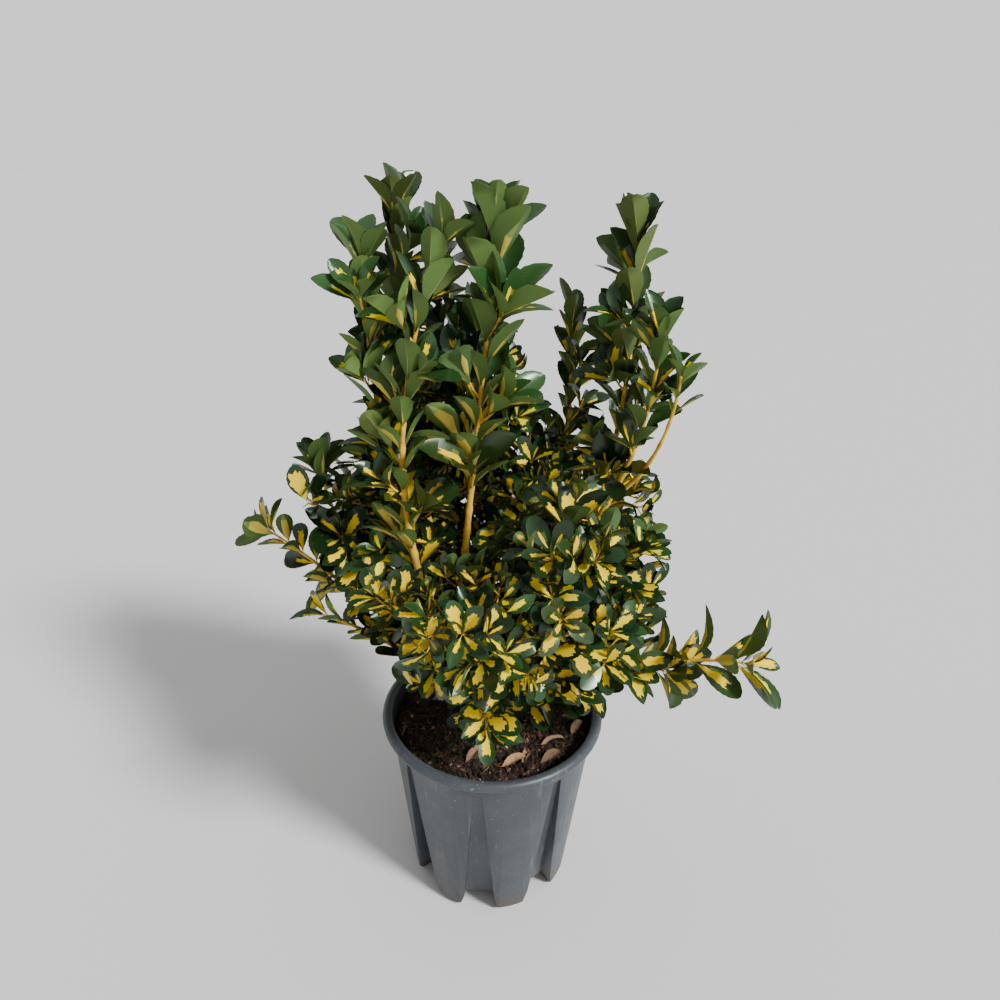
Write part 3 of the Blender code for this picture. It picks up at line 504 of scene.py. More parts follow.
class Grower:
    # keeps every leaf that stands, so that the next one finds room
    def __init__(self, limbs):
        self.leafRoom, self.limbRoom = Room(leafLook["leafGap"]), Room(leafLook["limbGap"])
        self.leaves, self.twigs = [], []
        for limb in limbs.values():
            steps = max(2, round(limb.length() / 0.004))
            for n in range(steps + 1):
                self.limbRoom.take(limb.point(n / steps))

    def leaf(self, mass, root, along, turn, lean, size, palette):
        draw = mass.draw
        for attempt in range(5):
            outward = around(along, turn + (0.0, 0.35, -0.35, 0.7, -0.7)[attempt])
            tilt = math.radians(lean + (0, 8, -10, 14, -16)[attempt] + draw.uniform(-7, 7))
            aim = along * math.cos(tilt) + outward * math.sin(tilt)
            aim = (aim + Vector((0.0, 0.0, shrub["skyward"]))).normalized()
            upper = along * math.sin(tilt) - outward * math.cos(tilt)
            upper = upper + Vector((0, 0, 1)) * 0.45 * (1 - abs(aim.z))
            level = aim.cross(upper).normalized()
            twist = draw.uniform(-1, 1) * mass.habit.twist
            across = level * math.cos(twist) + level.cross(aim) * math.sin(twist)
            points = [root + aim * size * share for share in (0.40, 0.70, 1.0)]
            if not all(mass.holds(point) for point in points):
                continue
            if any(self.leafRoom.taken(point) or self.limbRoom.taken(point) for point in points):
                continue
            for point in points:
                self.leafRoom.take(point)
            turned = Matrix((across, aim, across.cross(aim))).transposed().to_quaternion()
            self.leaves.append(leafPlace(root, turned, size, pickShape(mass, root.z), palette))
            return

    def rosette(self, mass, root, along, spin, lean, size, palette):
        # two pairs spread wide, and a smaller pair that stands up in the middle
        draw = mass.draw
        for n in range(4):
            self.leaf(mass, root, along, spin + n * math.pi / 2, lean + draw.uniform(-8, 8),
                      size * draw.uniform(0.84, 1.04), palette)
        for n in range(2):
            self.leaf(mass, root + along * 0.003, along, spin + 0.8 + n * math.pi, lean * 0.45,
                      size * draw.uniform(0.55, 0.72), palette)

    def twig(self, mass, root, along, turn, length, depth):
        draw = mass.draw
        outward = around(along, turn)
        aim = (along * draw.uniform(0.60, 0.95) + outward + Vector((0, 0, mass.habit.rise))).normalized()
        tip = root + aim * length
        if not mass.holds(tip, 0.018):
            return
        middle = (root + tip) / 2 + outward * 0.06 * length
        palette = pickPalette(draw, tip.z)
        radius = shrub["twigRadius"] * (1 - 0.2 * depth)
        self.twigs.append(([bend(root, middle, tip, n / 3) for n in range(4)], radius, radius * 0.6))
        spin = draw.uniform(0, math.pi)
        near, far = mass.habit.leans
        size = mass.leaf * (1.0 - 0.08 * depth)
        for n, spot in enumerate((0.42, 0.70)[2 - min(2, int(length / 0.014)):]):
            for side in (0, 1):
                self.leaf(mass, bend(root, middle, tip, spot), aim, spin + (n + 2 * side) * math.pi / 2,
                          near - 6 * n, size * draw.uniform(0.74, 0.98), palette)
        self.rosette(mass, tip, aim, spin + 0.7, near - 4, size * draw.uniform(0.84, 1.04), palette)
        if depth < mass.habit.finer and length > 0.026:
            for side in (0, 1):
                self.twig(mass, bend(root, middle, tip, 0.50 + 0.12 * side), aim, spin + side * math.pi,
                          length * 0.58, depth + 1)

    def mass(self, shoot, limb):
        mass = Mass(shoot, limb)
        habit, draw = mass.habit, mass.draw
        near, far = habit.leans
        palette = pickPalette(draw, limb.tip.z)
        leafy = 1 - habit.bare
        pairs = max(2, round(mass.length() * leafy / habit.pairStep))
        for n in range(pairs):
            part = habit.bare + leafy * (n + 0.5) / pairs
            root, along = mass.at(part)
            size = mass.leaf * draw.uniform(0.86, 1.10) * (0.94 + 0.12 * part)
            for side in (0, 1):
                turn = n * math.pi / 2 + side * math.pi + habit.spin + draw.uniform(-0.25, 0.25)
                self.leaf(mass, root, along, turn, near + (far - near) * part, size, palette)
        self.rosette(mass, limb.point(0.995), limb.tangent(1.0), pairs * math.pi / 2 + habit.spin, far + 4,
                     mass.leaf * habit.tipLeaf, palette)
        start = max(habit.bare, 0.05)
        for n in range(habit.sideTwigs):
            part = start + (habit.twigEnd - start) * (n + draw.uniform(0, 0.5)) / habit.sideTwigs
            root, along = mass.at(part)
            self.twig(mass, root, along, n * shrub["goldenTurn"] + draw.uniform(-0.4, 0.4),
                      habit.sideLength * draw.uniform(0.55, 1.0), 0)


def pickShape(mass, height):
    # the lower a leaf sits, the more gold it carries
    look, draw = leafLook, mass.draw
    gold = 1.0 - (height - look["goldFoot"]) / (look["goldTop"] - look["goldFoot"])
    level = min(max(min(gold, 1.0) * 0.80 + draw.uniform(-0.48, 0.34), 0.0), 0.999)
    form = draw.choices(range(len(leafForms)), mass.habit.forms)[0]
    return form * look["goldLevels"] + int(level * look["goldLevels"])


def pickPalette(draw, height):
    high = min(max((height - 0.52) / 0.22, 0.0), 1.0)
    low = [sort["low"] for sort in palettes.values()]
    top = [sort["top"] for sort in palettes.values()]
    return draw.choices(list(palettes), [a + (b - a) * high for a, b in zip(low, top)])[0]


zones = {"face": 0, "blend": 1, "gold": 2, "under": 3, "vein": 4, "streak": 5, "stalk": 6}


def leafShape(index):
    # one leaf a metre long, lying along +Y with its upper side to +Z, of a few dozen faces
    look = leafLook
    form = list(leafForms)[index // look["goldLevels"]]
    level = index % look["goldLevels"] / (look["goldLevels"] - 1)
    draw = random.Random(f"leaf {index}")
    fold, droop, width, blunt = leafForms[form]
    fold, droop = fold * draw.uniform(0.7, 1.3), droop * draw.uniform(0.5, 1.5)
    width, sway = width * draw.uniform(0.88, 1.06), draw.uniform(-0.06, 0.06)
    rows = look["rows"]
    last = len(rows) - 1
    goldEnd = 0 if level == 0 else min(6, max(2, round((0.38 + 0.38 * level + draw.uniform(-0.07, 0.09)) * last)))
    bm = bmesh.new()
    zone = bm.faces.layers.int.new("zone")

    def half(t):
        # half the leaf's width: a wedge up to its belly, then a round tip
        if t < look["belly"]:
            return width / 2 * max(math.sin(math.pi / 2 * t / look["belly"]) ** 1.1, look["base"])
        return width / 2 * (1 - ((t - look["belly"]) / (1 - look["belly"])) ** 2.2) ** blunt

    def spot(x, t, drop=0.0):
        rise = fold * abs(x) / (width / 2) - droop * t * t - drop
        return bm.verts.new((x + sway * t * t, t, rise))

    def face(corners, kind):
        made = bm.faces.new(corners)
        made[zone] = zones[kind]
        made.smooth = True

    def between(n, share):
        return rows[n] + share * (rows[n + 1] - rows[n])

    centres = [spot(0.0, t) for t in rows]
    ribs = [spot(0.0, t, look["thickness"]) for t in rows[:-1:2]]
    middle = spot(0.0, between(goldEnd, draw.uniform(0.30, 0.80))) if goldEnd else None
    below = {}
    rims = {}
    for side in (-1, 1):
        edges = [spot(side * half(t) * (1 - 0.3 * look["tooth"]), t) for t in rows[:-1]]
        edges.append(centres[-1])
        teeth = [spot(side * half(between(n, 0.7)) * (1 + look["tooth"]), between(n, 0.7)) for n in range(last)]
        rims[side] = edges
        base = (0.10 + 0.50 * level) * draw.uniform(0.62, 1.30)

        def reach(n):
            share = base * (1 + 0.6 * (1 - n / max(goldEnd, 1))) * draw.uniform(0.70, 1.25)
            return min(max(share, 0.06), 0.84)

        shares = [reach(n) for n in range(goldEnd + 1)]
        golds = [spot(side * half(rows[n]) * shares[n], rows[n]) for n in range(goldEnd + 1)]
        mids = [spot(side * half(between(n, 0.5)) * min((shares[n] + shares[n + 1]) / 2
                                                        * draw.uniform(0.60, 1.30), 0.88),
                     between(n, 0.5)) for n in range(goldEnd)]
        start = draw.randint(1, 4)
        run = range(start, start + 2 + draw.randint(0, 1)) if level > 0 and draw.random() < 0.7 else ()
        blends = {n: spot(side * half(rows[n]) * (shares[n] + (1 - shares[n]) * 0.42), rows[n])
                  for n in run if n <= goldEnd}
        for n in range(last):
            inner = [golds[n]] if goldEnd and n <= goldEnd else []
            outer = [golds[n + 1]] if goldEnd and n < goldEnd else []
            lower = [blends[n]] if n in blends else []
            upper = [blends[n + 1]] if n + 1 in blends else []
            edge = [edges[n], teeth[n], edges[n + 1]]
            if goldEnd and n < goldEnd:
                face([centres[n], golds[n], mids[n], golds[n + 1], centres[n + 1]], "gold")
                if lower and upper:
                    face([golds[n], blends[n], blends[n + 1], golds[n + 1], mids[n]], "blend")
                    face(lower + edge + upper, "face")
                else:
                    face(inner + lower + edge + upper + outer + [mids[n]], "face")
            elif goldEnd and n == goldEnd:
                far = half(rows[n]) * shares[n]
                finger = spot(side * far * draw.uniform(0.60, 0.90), between(n, draw.uniform(0.35, 0.92)))
                notch = spot(side * far * draw.uniform(0.28, 0.50), between(n, draw.uniform(0.02, 0.20)))
                face([centres[n], golds[n], finger, notch, middle], "gold")
                face(inner + lower + edge + [centres[n + 1], middle, notch, finger], "face")
            else:
                face([centres[n]] + edge + ([] if n + 1 == last else [centres[n + 1]]), "face")
        wide = [half(rows[n]) * shares[n] * 0.8 if 0 < n <= goldEnd else look["vein"] * (1 - rows[n])
                for n in range(0, last, 2)]
        below[side] = [spot(side * far, rows[2 * n], look["thickness"]) for n, far in enumerate(wide)]
        for n in range(0, last, 2):
            along = [edges[n], teeth[n], edges[n + 1], teeth[n + 1], edges[n + 2]]
            end = [] if n + 2 == last else [below[side][n // 2 + 1]]
            face([below[side][n // 2]] + along + end, "under")
            rib = [ribs[n // 2]] + ([centres[-1]] if n + 2 == last else [ribs[n // 2 + 1]])
            face([below[side][n // 2]] + rib + end, "streak" if n < goldEnd else "vein")
    face([rims[-1][0], centres[0], rims[1][0], below[1][0], ribs[0], below[-1][0]], "stalk")
    thick, stalk = look["stalkHalf"], look["stalk"]
    foot = [bm.verts.new((thick * math.sin(turn), -stalk, thick * math.cos(turn) - 0.006))
            for turn in (math.pi / 3, math.pi, -math.pi / 3)]
    top = bm.verts.new((0.0, 0.16, -0.006))
    for n in range(3):
        face([foot[n], foot[(n + 1) % 3], top], "stalk")
    face(foot[::-1], "stalk")
    bmesh.ops.recalc_face_normals(bm, faces=bm.faces)
    upside = {zones["face"], zones["blend"], zones["gold"]}
    for edge in bm.edges:
        edge.smooth = len({made[zone] in upside for made in edge.link_faces}) == 1
    bmesh.ops.translate(bm, verts=bm.verts, vec=(0.0, stalk, 0.0))
    mesh = bpy.data.meshes.new(f"leafShape{index:02d}")
    bm.to_mesh(mesh)
    bm.free()
    return mesh


palettes = {
    # low and top: how often a spray takes it, low in the crown and at its top
    "deep": {"low": 0.32, "top": 0.16, "face": (0.0090, 0.0270, 0.0065), "blend": (0.058, 0.105, 0.012),
             "gold": (0.78, 0.56, 0.008), "under": (0.058, 0.102, 0.026), "vein": (0.17, 0.21, 0.06)},
    "darkest": {"low": 0.24, "top": 0.06, "face": (0.0058, 0.0170, 0.0042), "blend": (0.042, 0.076, 0.010),
                "gold": (0.74, 0.51, 0.012), "under": (0.045, 0.080, 0.022), "vein": (0.14, 0.17, 0.05)},
    "bluish": {"low": 0.12, "top": 0.10, "face": (0.0072, 0.0275, 0.0092), "blend": (0.046, 0.100, 0.016),
               "gold": (0.82, 0.62, 0.008), "under": (0.060, 0.110, 0.034), "vein": (0.17, 0.22, 0.07)},
    "middling": {"low": 0.18, "top": 0.26, "face": (0.0130, 0.0410, 0.0090), "blend": (0.085, 0.150, 0.014),
                 "gold": (0.78, 0.54, 0.006), "under": (0.082, 0.140, 0.035), "vein": (0.22, 0.27, 0.08)},
    "fresh": {"low": 0.06, "top": 0.28, "face": (0.0200, 0.0600, 0.0135), "blend": (0.120, 0.195, 0.020),
              "gold": (0.86, 0.68, 0.010), "under": (0.115, 0.190, 0.049), "vein": (0.26, 0.32, 0.09)},
    "olive": {"low": 0.08, "top": 0.14, "face": (0.0180, 0.0370, 0.0080), "blend": (0.098, 0.130, 0.014),
              "gold": (0.68, 0.44, 0.010), "under": (0.084, 0.120, 0.030), "vein": (0.22, 0.23, 0.07)},
}
commonColours = {"streak": (0.56, 0.44, 0.070), "stalk": (0.48, 0.37, 0.045)}
leafGloss = {
    # roughness, specular level and the sheen's tint
    "face": (0.27, 0.54, (0.82, 1.00, 0.80)), "blend": (0.30, 0.45, (0.82, 1.00, 0.80)),
    "gold": (0.42, 0.16, (1.00, 0.94, 0.60)), "under": (0.56, 0.16, (0.88, 1.00, 0.80)),
    "vein": (0.62, 0.12, (1.00, 1.00, 1.00)), "streak": (0.62, 0.12, (1.00, 1.00, 1.00)),
    "stalk": (0.50, 0.25, (1.00, 1.00, 1.00)),
}


def leafFinishes(sort):
    colours = {**commonColours, **palettes[sort]}
    return {zone: Finish(f"{sort}Leaf{zone.title()}", colours[zone], roughness, Specular_IOR_Level=gloss,
                         Specular_Tint=rgba(tint)).material
            for zone, (roughness, gloss, tint) in leafGloss.items()}


# Geometry node trees

def newTree(name, inputs):
    tree = bpy.data.node_groups.new(name, "GeometryNodeTree")
    tree.interface.new_socket("Geometry", in_out="INPUT", socket_type="NodeSocketGeometry")
    for label, kind in inputs:
        tree.interface.new_socket(label, in_out="INPUT", socket_type=f"NodeSocket{kind}")
    tree.interface.new_socket("Geometry", in_out="OUTPUT", socket_type="NodeSocketGeometry")
    maker = Maker(tree)
    entry = tree.nodes.new("NodeGroupInput")
    given = {socket.name: Sock(maker, socket) for socket in entry.outputs if socket.name}
    return tree, maker, given


def endTree(tree, geometry):
    tree.links.new(geometry.socket, tree.nodes.new("NodeGroupOutput").inputs[0])
    return tree


def named(maker, name, kind):
    return maker.node("GeometryNodeInputNamedAttribute", {"data_type": kind}, {"Name": name})


def leafTree():
    # puts a leaf of the named shape on every point, then paints each of its zones
    tree, maker, given = newTree("leavesOnPoints", [("Shapes", "Collection")]
                                 + [(zone, "Material") for zone in zones])
    shapes = maker.node("GeometryNodeCollectionInfo", {"transform_space": "ORIGINAL"},
                        {"Collection": given["Shapes"], "Separate Children": True, "Reset Children": True})
    made = maker.node("GeometryNodeInstanceOnPoints", None,
                      {"Points": given["Geometry"], "Instance": shapes, "Pick Instance": True,
                       "Instance Index": named(maker, "shape", "INT"),
                       "Rotation": named(maker, "turn", "QUATERNION"), "Scale": named(maker, "size", "FLOAT")})
    made = maker.node("GeometryNodeRealizeInstances", None, {"Geometry": made})
    for zone, number in zones.items():
        chosen = maker.node("FunctionNodeCompare", {"data_type": "INT", "operation": "EQUAL"},
                            {2: named(maker, "zone", "INT"), 3: number})
        made = maker.node("GeometryNodeSetMaterial", None,
                          {"Geometry": made, "Selection": chosen, "Material": given[zone]})
    return endTree(tree, made)


def tubeTree():
    # a tube round every path, roughened by noise
    tree, maker, given = newTree("barkTubes", [("Sides", "Int"), ("Relief", "Float"), ("Grain", "Float"),
                                               ("Bark", "Material")])
    ring = maker.node("GeometryNodeCurvePrimitiveCircle", None, {"Resolution": given["Sides"], "Radius": 1.0})
    size = maker.node("GeometryNodeInputRadius")
    made = maker.node("GeometryNodeCurveToMesh", None,
                      {"Curve": given["Geometry"], "Profile Curve": ring, "Scale": size, "Fill Caps": True})
    grain = maker.node("ShaderNodeTexNoise", None, {"Scale": given["Grain"], "Detail": 3.0}, out="Fac")
    swell = (grain - 0.5) * given["Relief"]
    push = maker.node("ShaderNodeVectorMath", {"operation": "SCALE"},
                      {0: maker.node("GeometryNodeInputNormal"), "Scale": swell})
    made = maker.node("GeometryNodeSetPosition", None, {"Geometry": made, "Offset": push})
    made = maker.node("GeometryNodeRealizeInstances", None, {"Geometry": made})
    made = maker.node("GeometryNodeSetMaterial", None, {"Geometry": made, "Material": given["Bark"]})
    return endTree(tree, made)


def scatterTree():
    # seeded pieces strewn over a surface, each turned and sized by chance
    tree, maker, given = newTree("strewn", [("Piece", "Object"), ("Density", "Float"), ("Least", "Float"),
                                            ("Most", "Float"), ("Tilt", "Float"), ("Seed", "Int"),
                                            ("Finish", "Material")])
    spread = maker.node("GeometryNodeDistributePointsOnFaces", None,
                        {"Mesh": given["Geometry"], "Density": given["Density"], "Seed": given["Seed"]})
    tilt = maker.node("ShaderNodeCombineXYZ", None, {0: given["Tilt"], 1: given["Tilt"], 2: math.pi})
    back = maker.node("ShaderNodeVectorMath", {"operation": "SCALE"}, {0: tilt, "Scale": -1.0})
    turn = maker.node("FunctionNodeRandomValue", {"data_type": "FLOAT_VECTOR"},
                      {0: back, 1: tilt, "Seed": given["Seed"]}, out=0)
    size = maker.node("FunctionNodeRandomValue", {"data_type": "FLOAT"},
                      {2: given["Least"], 3: given["Most"], "Seed": given["Seed"]}, out=1)
    piece = maker.node("GeometryNodeObjectInfo", None, {"Object": given["Piece"]}, out="Geometry")
    made = maker.node("GeometryNodeInstanceOnPoints", None,
                      {"Points": spread, "Instance": piece, "Rotation": turn, "Scale": size})
    made = maker.node("GeometryNodeRealizeInstances", None, {"Geometry": made})
    made = maker.node("GeometryNodeSetMaterial", None, {"Geometry": made, "Material": given["Finish"]})
    return endTree(tree, made)


def grown(item, name, tree, values):
    # runs a node tree on the item, and keeps its result as a plain mesh object
    modifier = item.modifiers.new(tree.name, "NODES")
    modifier.node_group = tree
    for socket in tree.interface.items_tree:
        if socket.in_out == "INPUT" and socket.name in values:
            modifier[socket.identifier] = values[socket.name]
    depsgraph = bpy.context.evaluated_depsgraph_get()
    mesh = bpy.data.meshes.new_from_object(item.evaluated_get(depsgraph))
    bpy.data.objects.remove(item)
    mesh.name = name
    return link(bpy.data.objects.new(name, mesh))


def triangles(piece):
    return sum(len(face.vertices) - 2 for face in piece.data.polygons)


# Leaves

def cloud(name, leaves):
    # the leaves' roots as loose points that carry each leaf's turn, size and shape
    mesh = bpy.data.meshes.new(name)
    mesh.from_pydata([leaf.root for leaf in leaves], [], [])
    turn = mesh.attributes.new("turn", "QUATERNION", "POINT")
    turn.data.foreach_set("value", [part for leaf in leaves for part in leaf.turn])
    size = mesh.attributes.new("size", "FLOAT", "POINT")
    size.data.foreach_set("value", [leaf.size for leaf in leaves])
    shape = mesh.attributes.new("shape", "INT", "POINT")
    shape.data.foreach_set("value", [leaf.shape for leaf in leaves])
    return link(bpy.data.objects.new(name, mesh))


def makeLeaves(grower):
    shapes = bpy.data.collections.new("leafShapes")
    for n in range(len(leafForms) * leafLook["goldLevels"]):
        shapes.objects.link(bpy.data.objects.new(f"leafShape{n:02d}", leafShape(n)))
    tree = leafTree()
    pieces = []
    for sort in palettes:
        own = [leaf for leaf in grower.leaves if leaf.palette == sort]
        finishes = leafFinishes(sort)
        parts = math.ceil(len(own) / leafLook["mostInPiece"])
        for n in range(parts):
            name = f"{sort}Leaves{n + 1}"
            piece = grown(cloud(name, own[n::parts]), name, tree, {"Shapes": shapes, **finishes})
            pieces.append(piece)
            print(name, len(own[n::parts]), "leaves", triangles(piece), "triangles")
    for item in list(shapes.objects):
        bpy.data.objects.remove(item)
    bpy.data.collections.remove(shapes)
    return pieces


# Bark

barkLook = {
    "gold": (0.80, 0.50, 0.045),
    "ochre": (0.52, 0.28, 0.034),
    "brown": (0.085, 0.052, 0.026),
    "green": (0.24, 0.30, 0.050),
    "sides": 10,
    "relief": 0.0008,
    "grain": 330.0,
    "node": 0.20,  # how much a limb swells where a pair of leaves stood
    "step": 0.006,
}


def barkFinish():
    look = barkLook
    finish = Finish("goldenBark", look["gold"], 0.55, Specular_IOR_Level=0.30)
    where = finish.place()
    patches = finish.ramp(finish.noise(70.0, 5.0, where), 0.42, 0.66)
    colour = finish.mix(patches, rgba(look["gold"]), rgba(look["ochre"]))
    colour = finish.mix((1 - finish.height(where, 0.23, 0.36)) * 0.75, colour, rgba(look["brown"]))
    colour = finish.mix(finish.height(where, 0.66, 0.82) * 0.6, colour, rgba(look["green"]))
    scars = finish.ramp(finish.noise(260.0, 3.0, where), 0.66, 0.72)
    colour = finish.mix(scars * 0.6, colour, rgba(look["brown"]))
    finish.put("Base Color", colour)
    finish.bump(finish.noise(500.0, 5.0, where), 0.5, 0.0008)
    return finish.material


def paths(name, lines):
    # one curve object for many tapering paths of (points, radii)
    curve = bpy.data.curves.new(name, "CURVE")
    curve.dimensions = "3D"
    for points, radii in lines:
        spline = curve.splines.new("POLY")
        spline.points.add(len(points) - 1)
        for knot, point, radius in zip(spline.points, points, radii):
            knot.co = (*point, 1.0)
            knot.radius = radius
    return link(bpy.data.objects.new(name, curve))


def makeLimbs(limbs, grower):
    look = barkLook
    stem = limbs["stem"]
    shares = [0.0, 0.04, 0.08, 0.14, 0.22, 0.35, 0.5, 0.7, 0.85, 1.0]
    flare = shrub["stemFlare"] - shrub["stemRadius"]
    lines = [([stem.point(s) for s in shares], [stem.radius(s) + flare * math.exp(-14 * s) for s in shares])]
    for shoot in shoots:
        limb = limbs[shoot.name]
        steps = round(limb.length() / look["step"])
        inParent = limb.foot - limb.tangent(0.0) * 0.006
        line = [inParent] + [limb.point(n / steps) for n in range(steps + 1)]
        radii = [limb.footRadius] + [limb.radius(n / steps) * (1 + look["node"] * (n % 4 == 2))
                                     for n in range(steps + 1)]
        lines.append((line, radii))
    values = {"Sides": look["sides"], "Relief": look["relief"], "Grain": look["grain"], "Bark": barkFinish()}
    tree = tubeTree()
    boughs = grown(paths("boughPaths", lines), "boughsAndMainTwigs", tree, values)
    twigLines = [(line, [a + (b - a) * n / 3 for n in range(4)]) for line, a, b in grower.twigs]
    values.update({"Sides": 4, "Relief": 0.0002})
    twigs = grown(paths("twigPaths", twigLines), "sideTwigs", tree, values)
    print("limbs", triangles(boughs), "side twigs", triangles(twigs), "triangles")
    return boughs, twigs


# Compost

compostLook = {
    "radius": 0.1145,
    "relief": 0.0035,
    "rings": 34,
    "spokes": 90,
    "dark": (0.010, 0.0070, 0.0055),
    "pale": (0.048, 0.029, 0.020),
}

# density is per square metre, tilt in radians, and place is a circle's middle and radius
Strewn = namedtuple("Strewn", "density least most tilt sides dark pale place", defaults=((0.0, 0.0, 0.108),))

strewn = {
    "clods": Strewn(48000, 0.0014, 0.0040, 1.2, (1.0, 0.9, 0.75), (0.009, 0.006, 0.0045), (0.045, 0.026, 0.017)),
    "barkChips": Strewn(9500, 0.0018, 0.0048, 0.8, (1.0, 0.60, 0.30), (0.070, 0.022, 0.010), (0.200, 0.078, 0.038)),
    "paleChips": Strewn(3600, 0.0014, 0.0040, 0.9, (1.0, 0.50, 0.20), (0.180, 0.115, 0.070), (0.420, 0.290, 0.190)),
    "fibres": Strewn(6000, 0.0030, 0.0090, 0.45, (1.0, 0.07, 0.05), (0.100, 0.070, 0.036), (0.300, 0.225, 0.130)),
    "perlite": Strewn(500, 0.0008, 0.0015, 1.2, (1.0, 0.9, 0.8), (0.40, 0.37, 0.34), (0.62, 0.60, 0.56)),
    "moss": Strewn(120000, 0.0012, 0.0030, 1.5, (1.0, 0.30, 0.30), (0.026, 0.036, 0.009), (0.120, 0.130, 0.036),
                   (-0.060, -0.060, 0.030)),
    "thinMoss": Strewn(9000, 0.0012, 0.0032, 1.5, (1.0, 0.30, 0.30), (0.020, 0.030, 0.008), (0.080, 0.090, 0.028)),
    "seedlings": Strewn(30000, 0.0045, 0.0110, 1.3, (1.0, 0.10, 0.05), (0.070, 0.095, 0.036),
                        (0.230, 0.250, 0.130), (-0.092, -0.030, 0.013)),
}

# where each lies from the pot's axis, its heading, length, how far it curls, and its colour
dryLeaves = [
    (-0.022, -0.070, 68, 0.031, 2.6, (0.26, 0.155, 0.095)),
    (0.020, -0.079, 40, 0.030, 2.2, (0.42, 0.260, 0.125)),
    (0.038, -0.067, -75, 0.024, 2.6, (0.30, 0.180, 0.095)),
    (0.062, -0.071, 43, 0.027, 1.5, (0.17, 0.105, 0.058)),
    (0.064, -0.046, 44, 0.027, 3.2, (0.34, 0.220, 0.125)),
    (0.096, -0.024, 72, 0.024, 1.8, (0.24, 0.155, 0.090)),
    (0.090, 0.000, 12, 0.022, 1.9, (0.28, 0.165, 0.120)),
    (-0.070, 0.045, 130, 0.030, 1.8, (0.24, 0.140, 0.070)),
    (0.050, 0.072, 70, 0.028, 2.0, (0.28, 0.170, 0.090)),
]


def compostFinish(name, dark, pale):
    finish = Finish(name, dark, 0.90, Specular_IOR_Level=0.25)
    where = finish.place()
    finish.put("Base Color", finish.mix(finish.ramp(finish.noise(160.0, 6.0, where), 0.40, 0.68),
                                        rgba(dark), rgba(pale)))
    finish.bump(finish.noise(420.0, 6.0, where), 0.9, 0.002)
    return finish.material


def bedHeight(x, y):
    look = compostLook
    lump = noise.noise((x * 70, y * 70, 1.0)) * 0.6 + noise.noise((x * 210, y * 210, 5.0)) * 0.4
    edge = min(1.0, (look["radius"] - math.hypot(x, y)) / 0.012)
    return shrub["soilHeight"] + 0.0004 + look["relief"] * max(0.0, 0.5 + lump) * max(edge, 0.0)


def makeBed():
    # the compost's lumpy top, closed underneath by a flat disc inside the solid
    look = compostLook
    bm = bmesh.new()
    rings = []
    for n in range(1, look["rings"] + 1):
        radius = look["radius"] * n / look["rings"]
        turns = [2 * math.pi * k / look["spokes"] for k in range(look["spokes"])]
        spots = [(radius * math.cos(turn), radius * math.sin(turn)) for turn in turns]
        rings.append([bm.verts.new((x, y, bedHeight(x, y))) for x, y in spots])
    middle = bm.verts.new((0.0, 0.0, bedHeight(0.0, 0.0)))
    count = look["spokes"]
    for k in range(count):
        bm.faces.new((middle, rings[0][k], rings[0][(k + 1) % count]))
        for a, b in zip(rings, rings[1:]):
            bm.faces.new((a[k], b[k], b[(k + 1) % count], a[(k + 1) % count]))
    foot = [bm.verts.new((v.co.x, v.co.y, shrub["soilHeight"] - 0.0006)) for v in rings[-1]]
    for k in range(count):
        bm.faces.new((rings[-1][k], foot[k], foot[(k + 1) % count], rings[-1][(k + 1) % count]))
    bm.faces.new(foot[::-1])
    for face in bm.faces:
        face.smooth = True
    return meshObject(bm, "compostTop", compostFinish("compostTop", look["dark"], look["pale"]))


def lumpOf(name, sides, seed):
    # a small lump, drawn out along its sides and knocked about
    bm = bmesh.new()
    bmesh.ops.create_icosphere(bm, subdivisions=1, radius=1.0)
    draw = random.Random(seed)
    for vert in bm.verts:
        vert.co = Vector(part * side for part, side in zip(vert.co * (1 + draw.uniform(-0.28, 0.28)), sides))
    mesh = bpy.data.meshes.new(name)
    bm.to_mesh(mesh)
    bm.free()
    return bpy.data.objects.new(name, mesh)


def makeStrewn():
    pieces = []
    tree = scatterTree()
    for seed, (name, kind) in enumerate(strewn.items()):
        x, y, radius = kind.place
        bm = bmesh.new()
        bmesh.ops.create_circle(bm, cap_ends=True, segments=48, radius=radius)
        bmesh.ops.translate(bm, verts=bm.verts, vec=(x, y, shrub["soilHeight"] + 0.0022))
        lump = lumpOf(f"{name}Lump", kind.sides, seed)
        piece = grown(meshObject(bm, "bed"), name, tree,
                      {"Piece": lump, "Density": kind.density, "Least": kind.least, "Most": kind.most,
                       "Tilt": kind.tilt, "Seed": seed + 3, "Finish": compostFinish(name, kind.dark, kind.pale)})
        bpy.data.objects.remove(lump)
        pieces.append(piece)
        print(name, triangles(piece), "triangles")
    return pieces


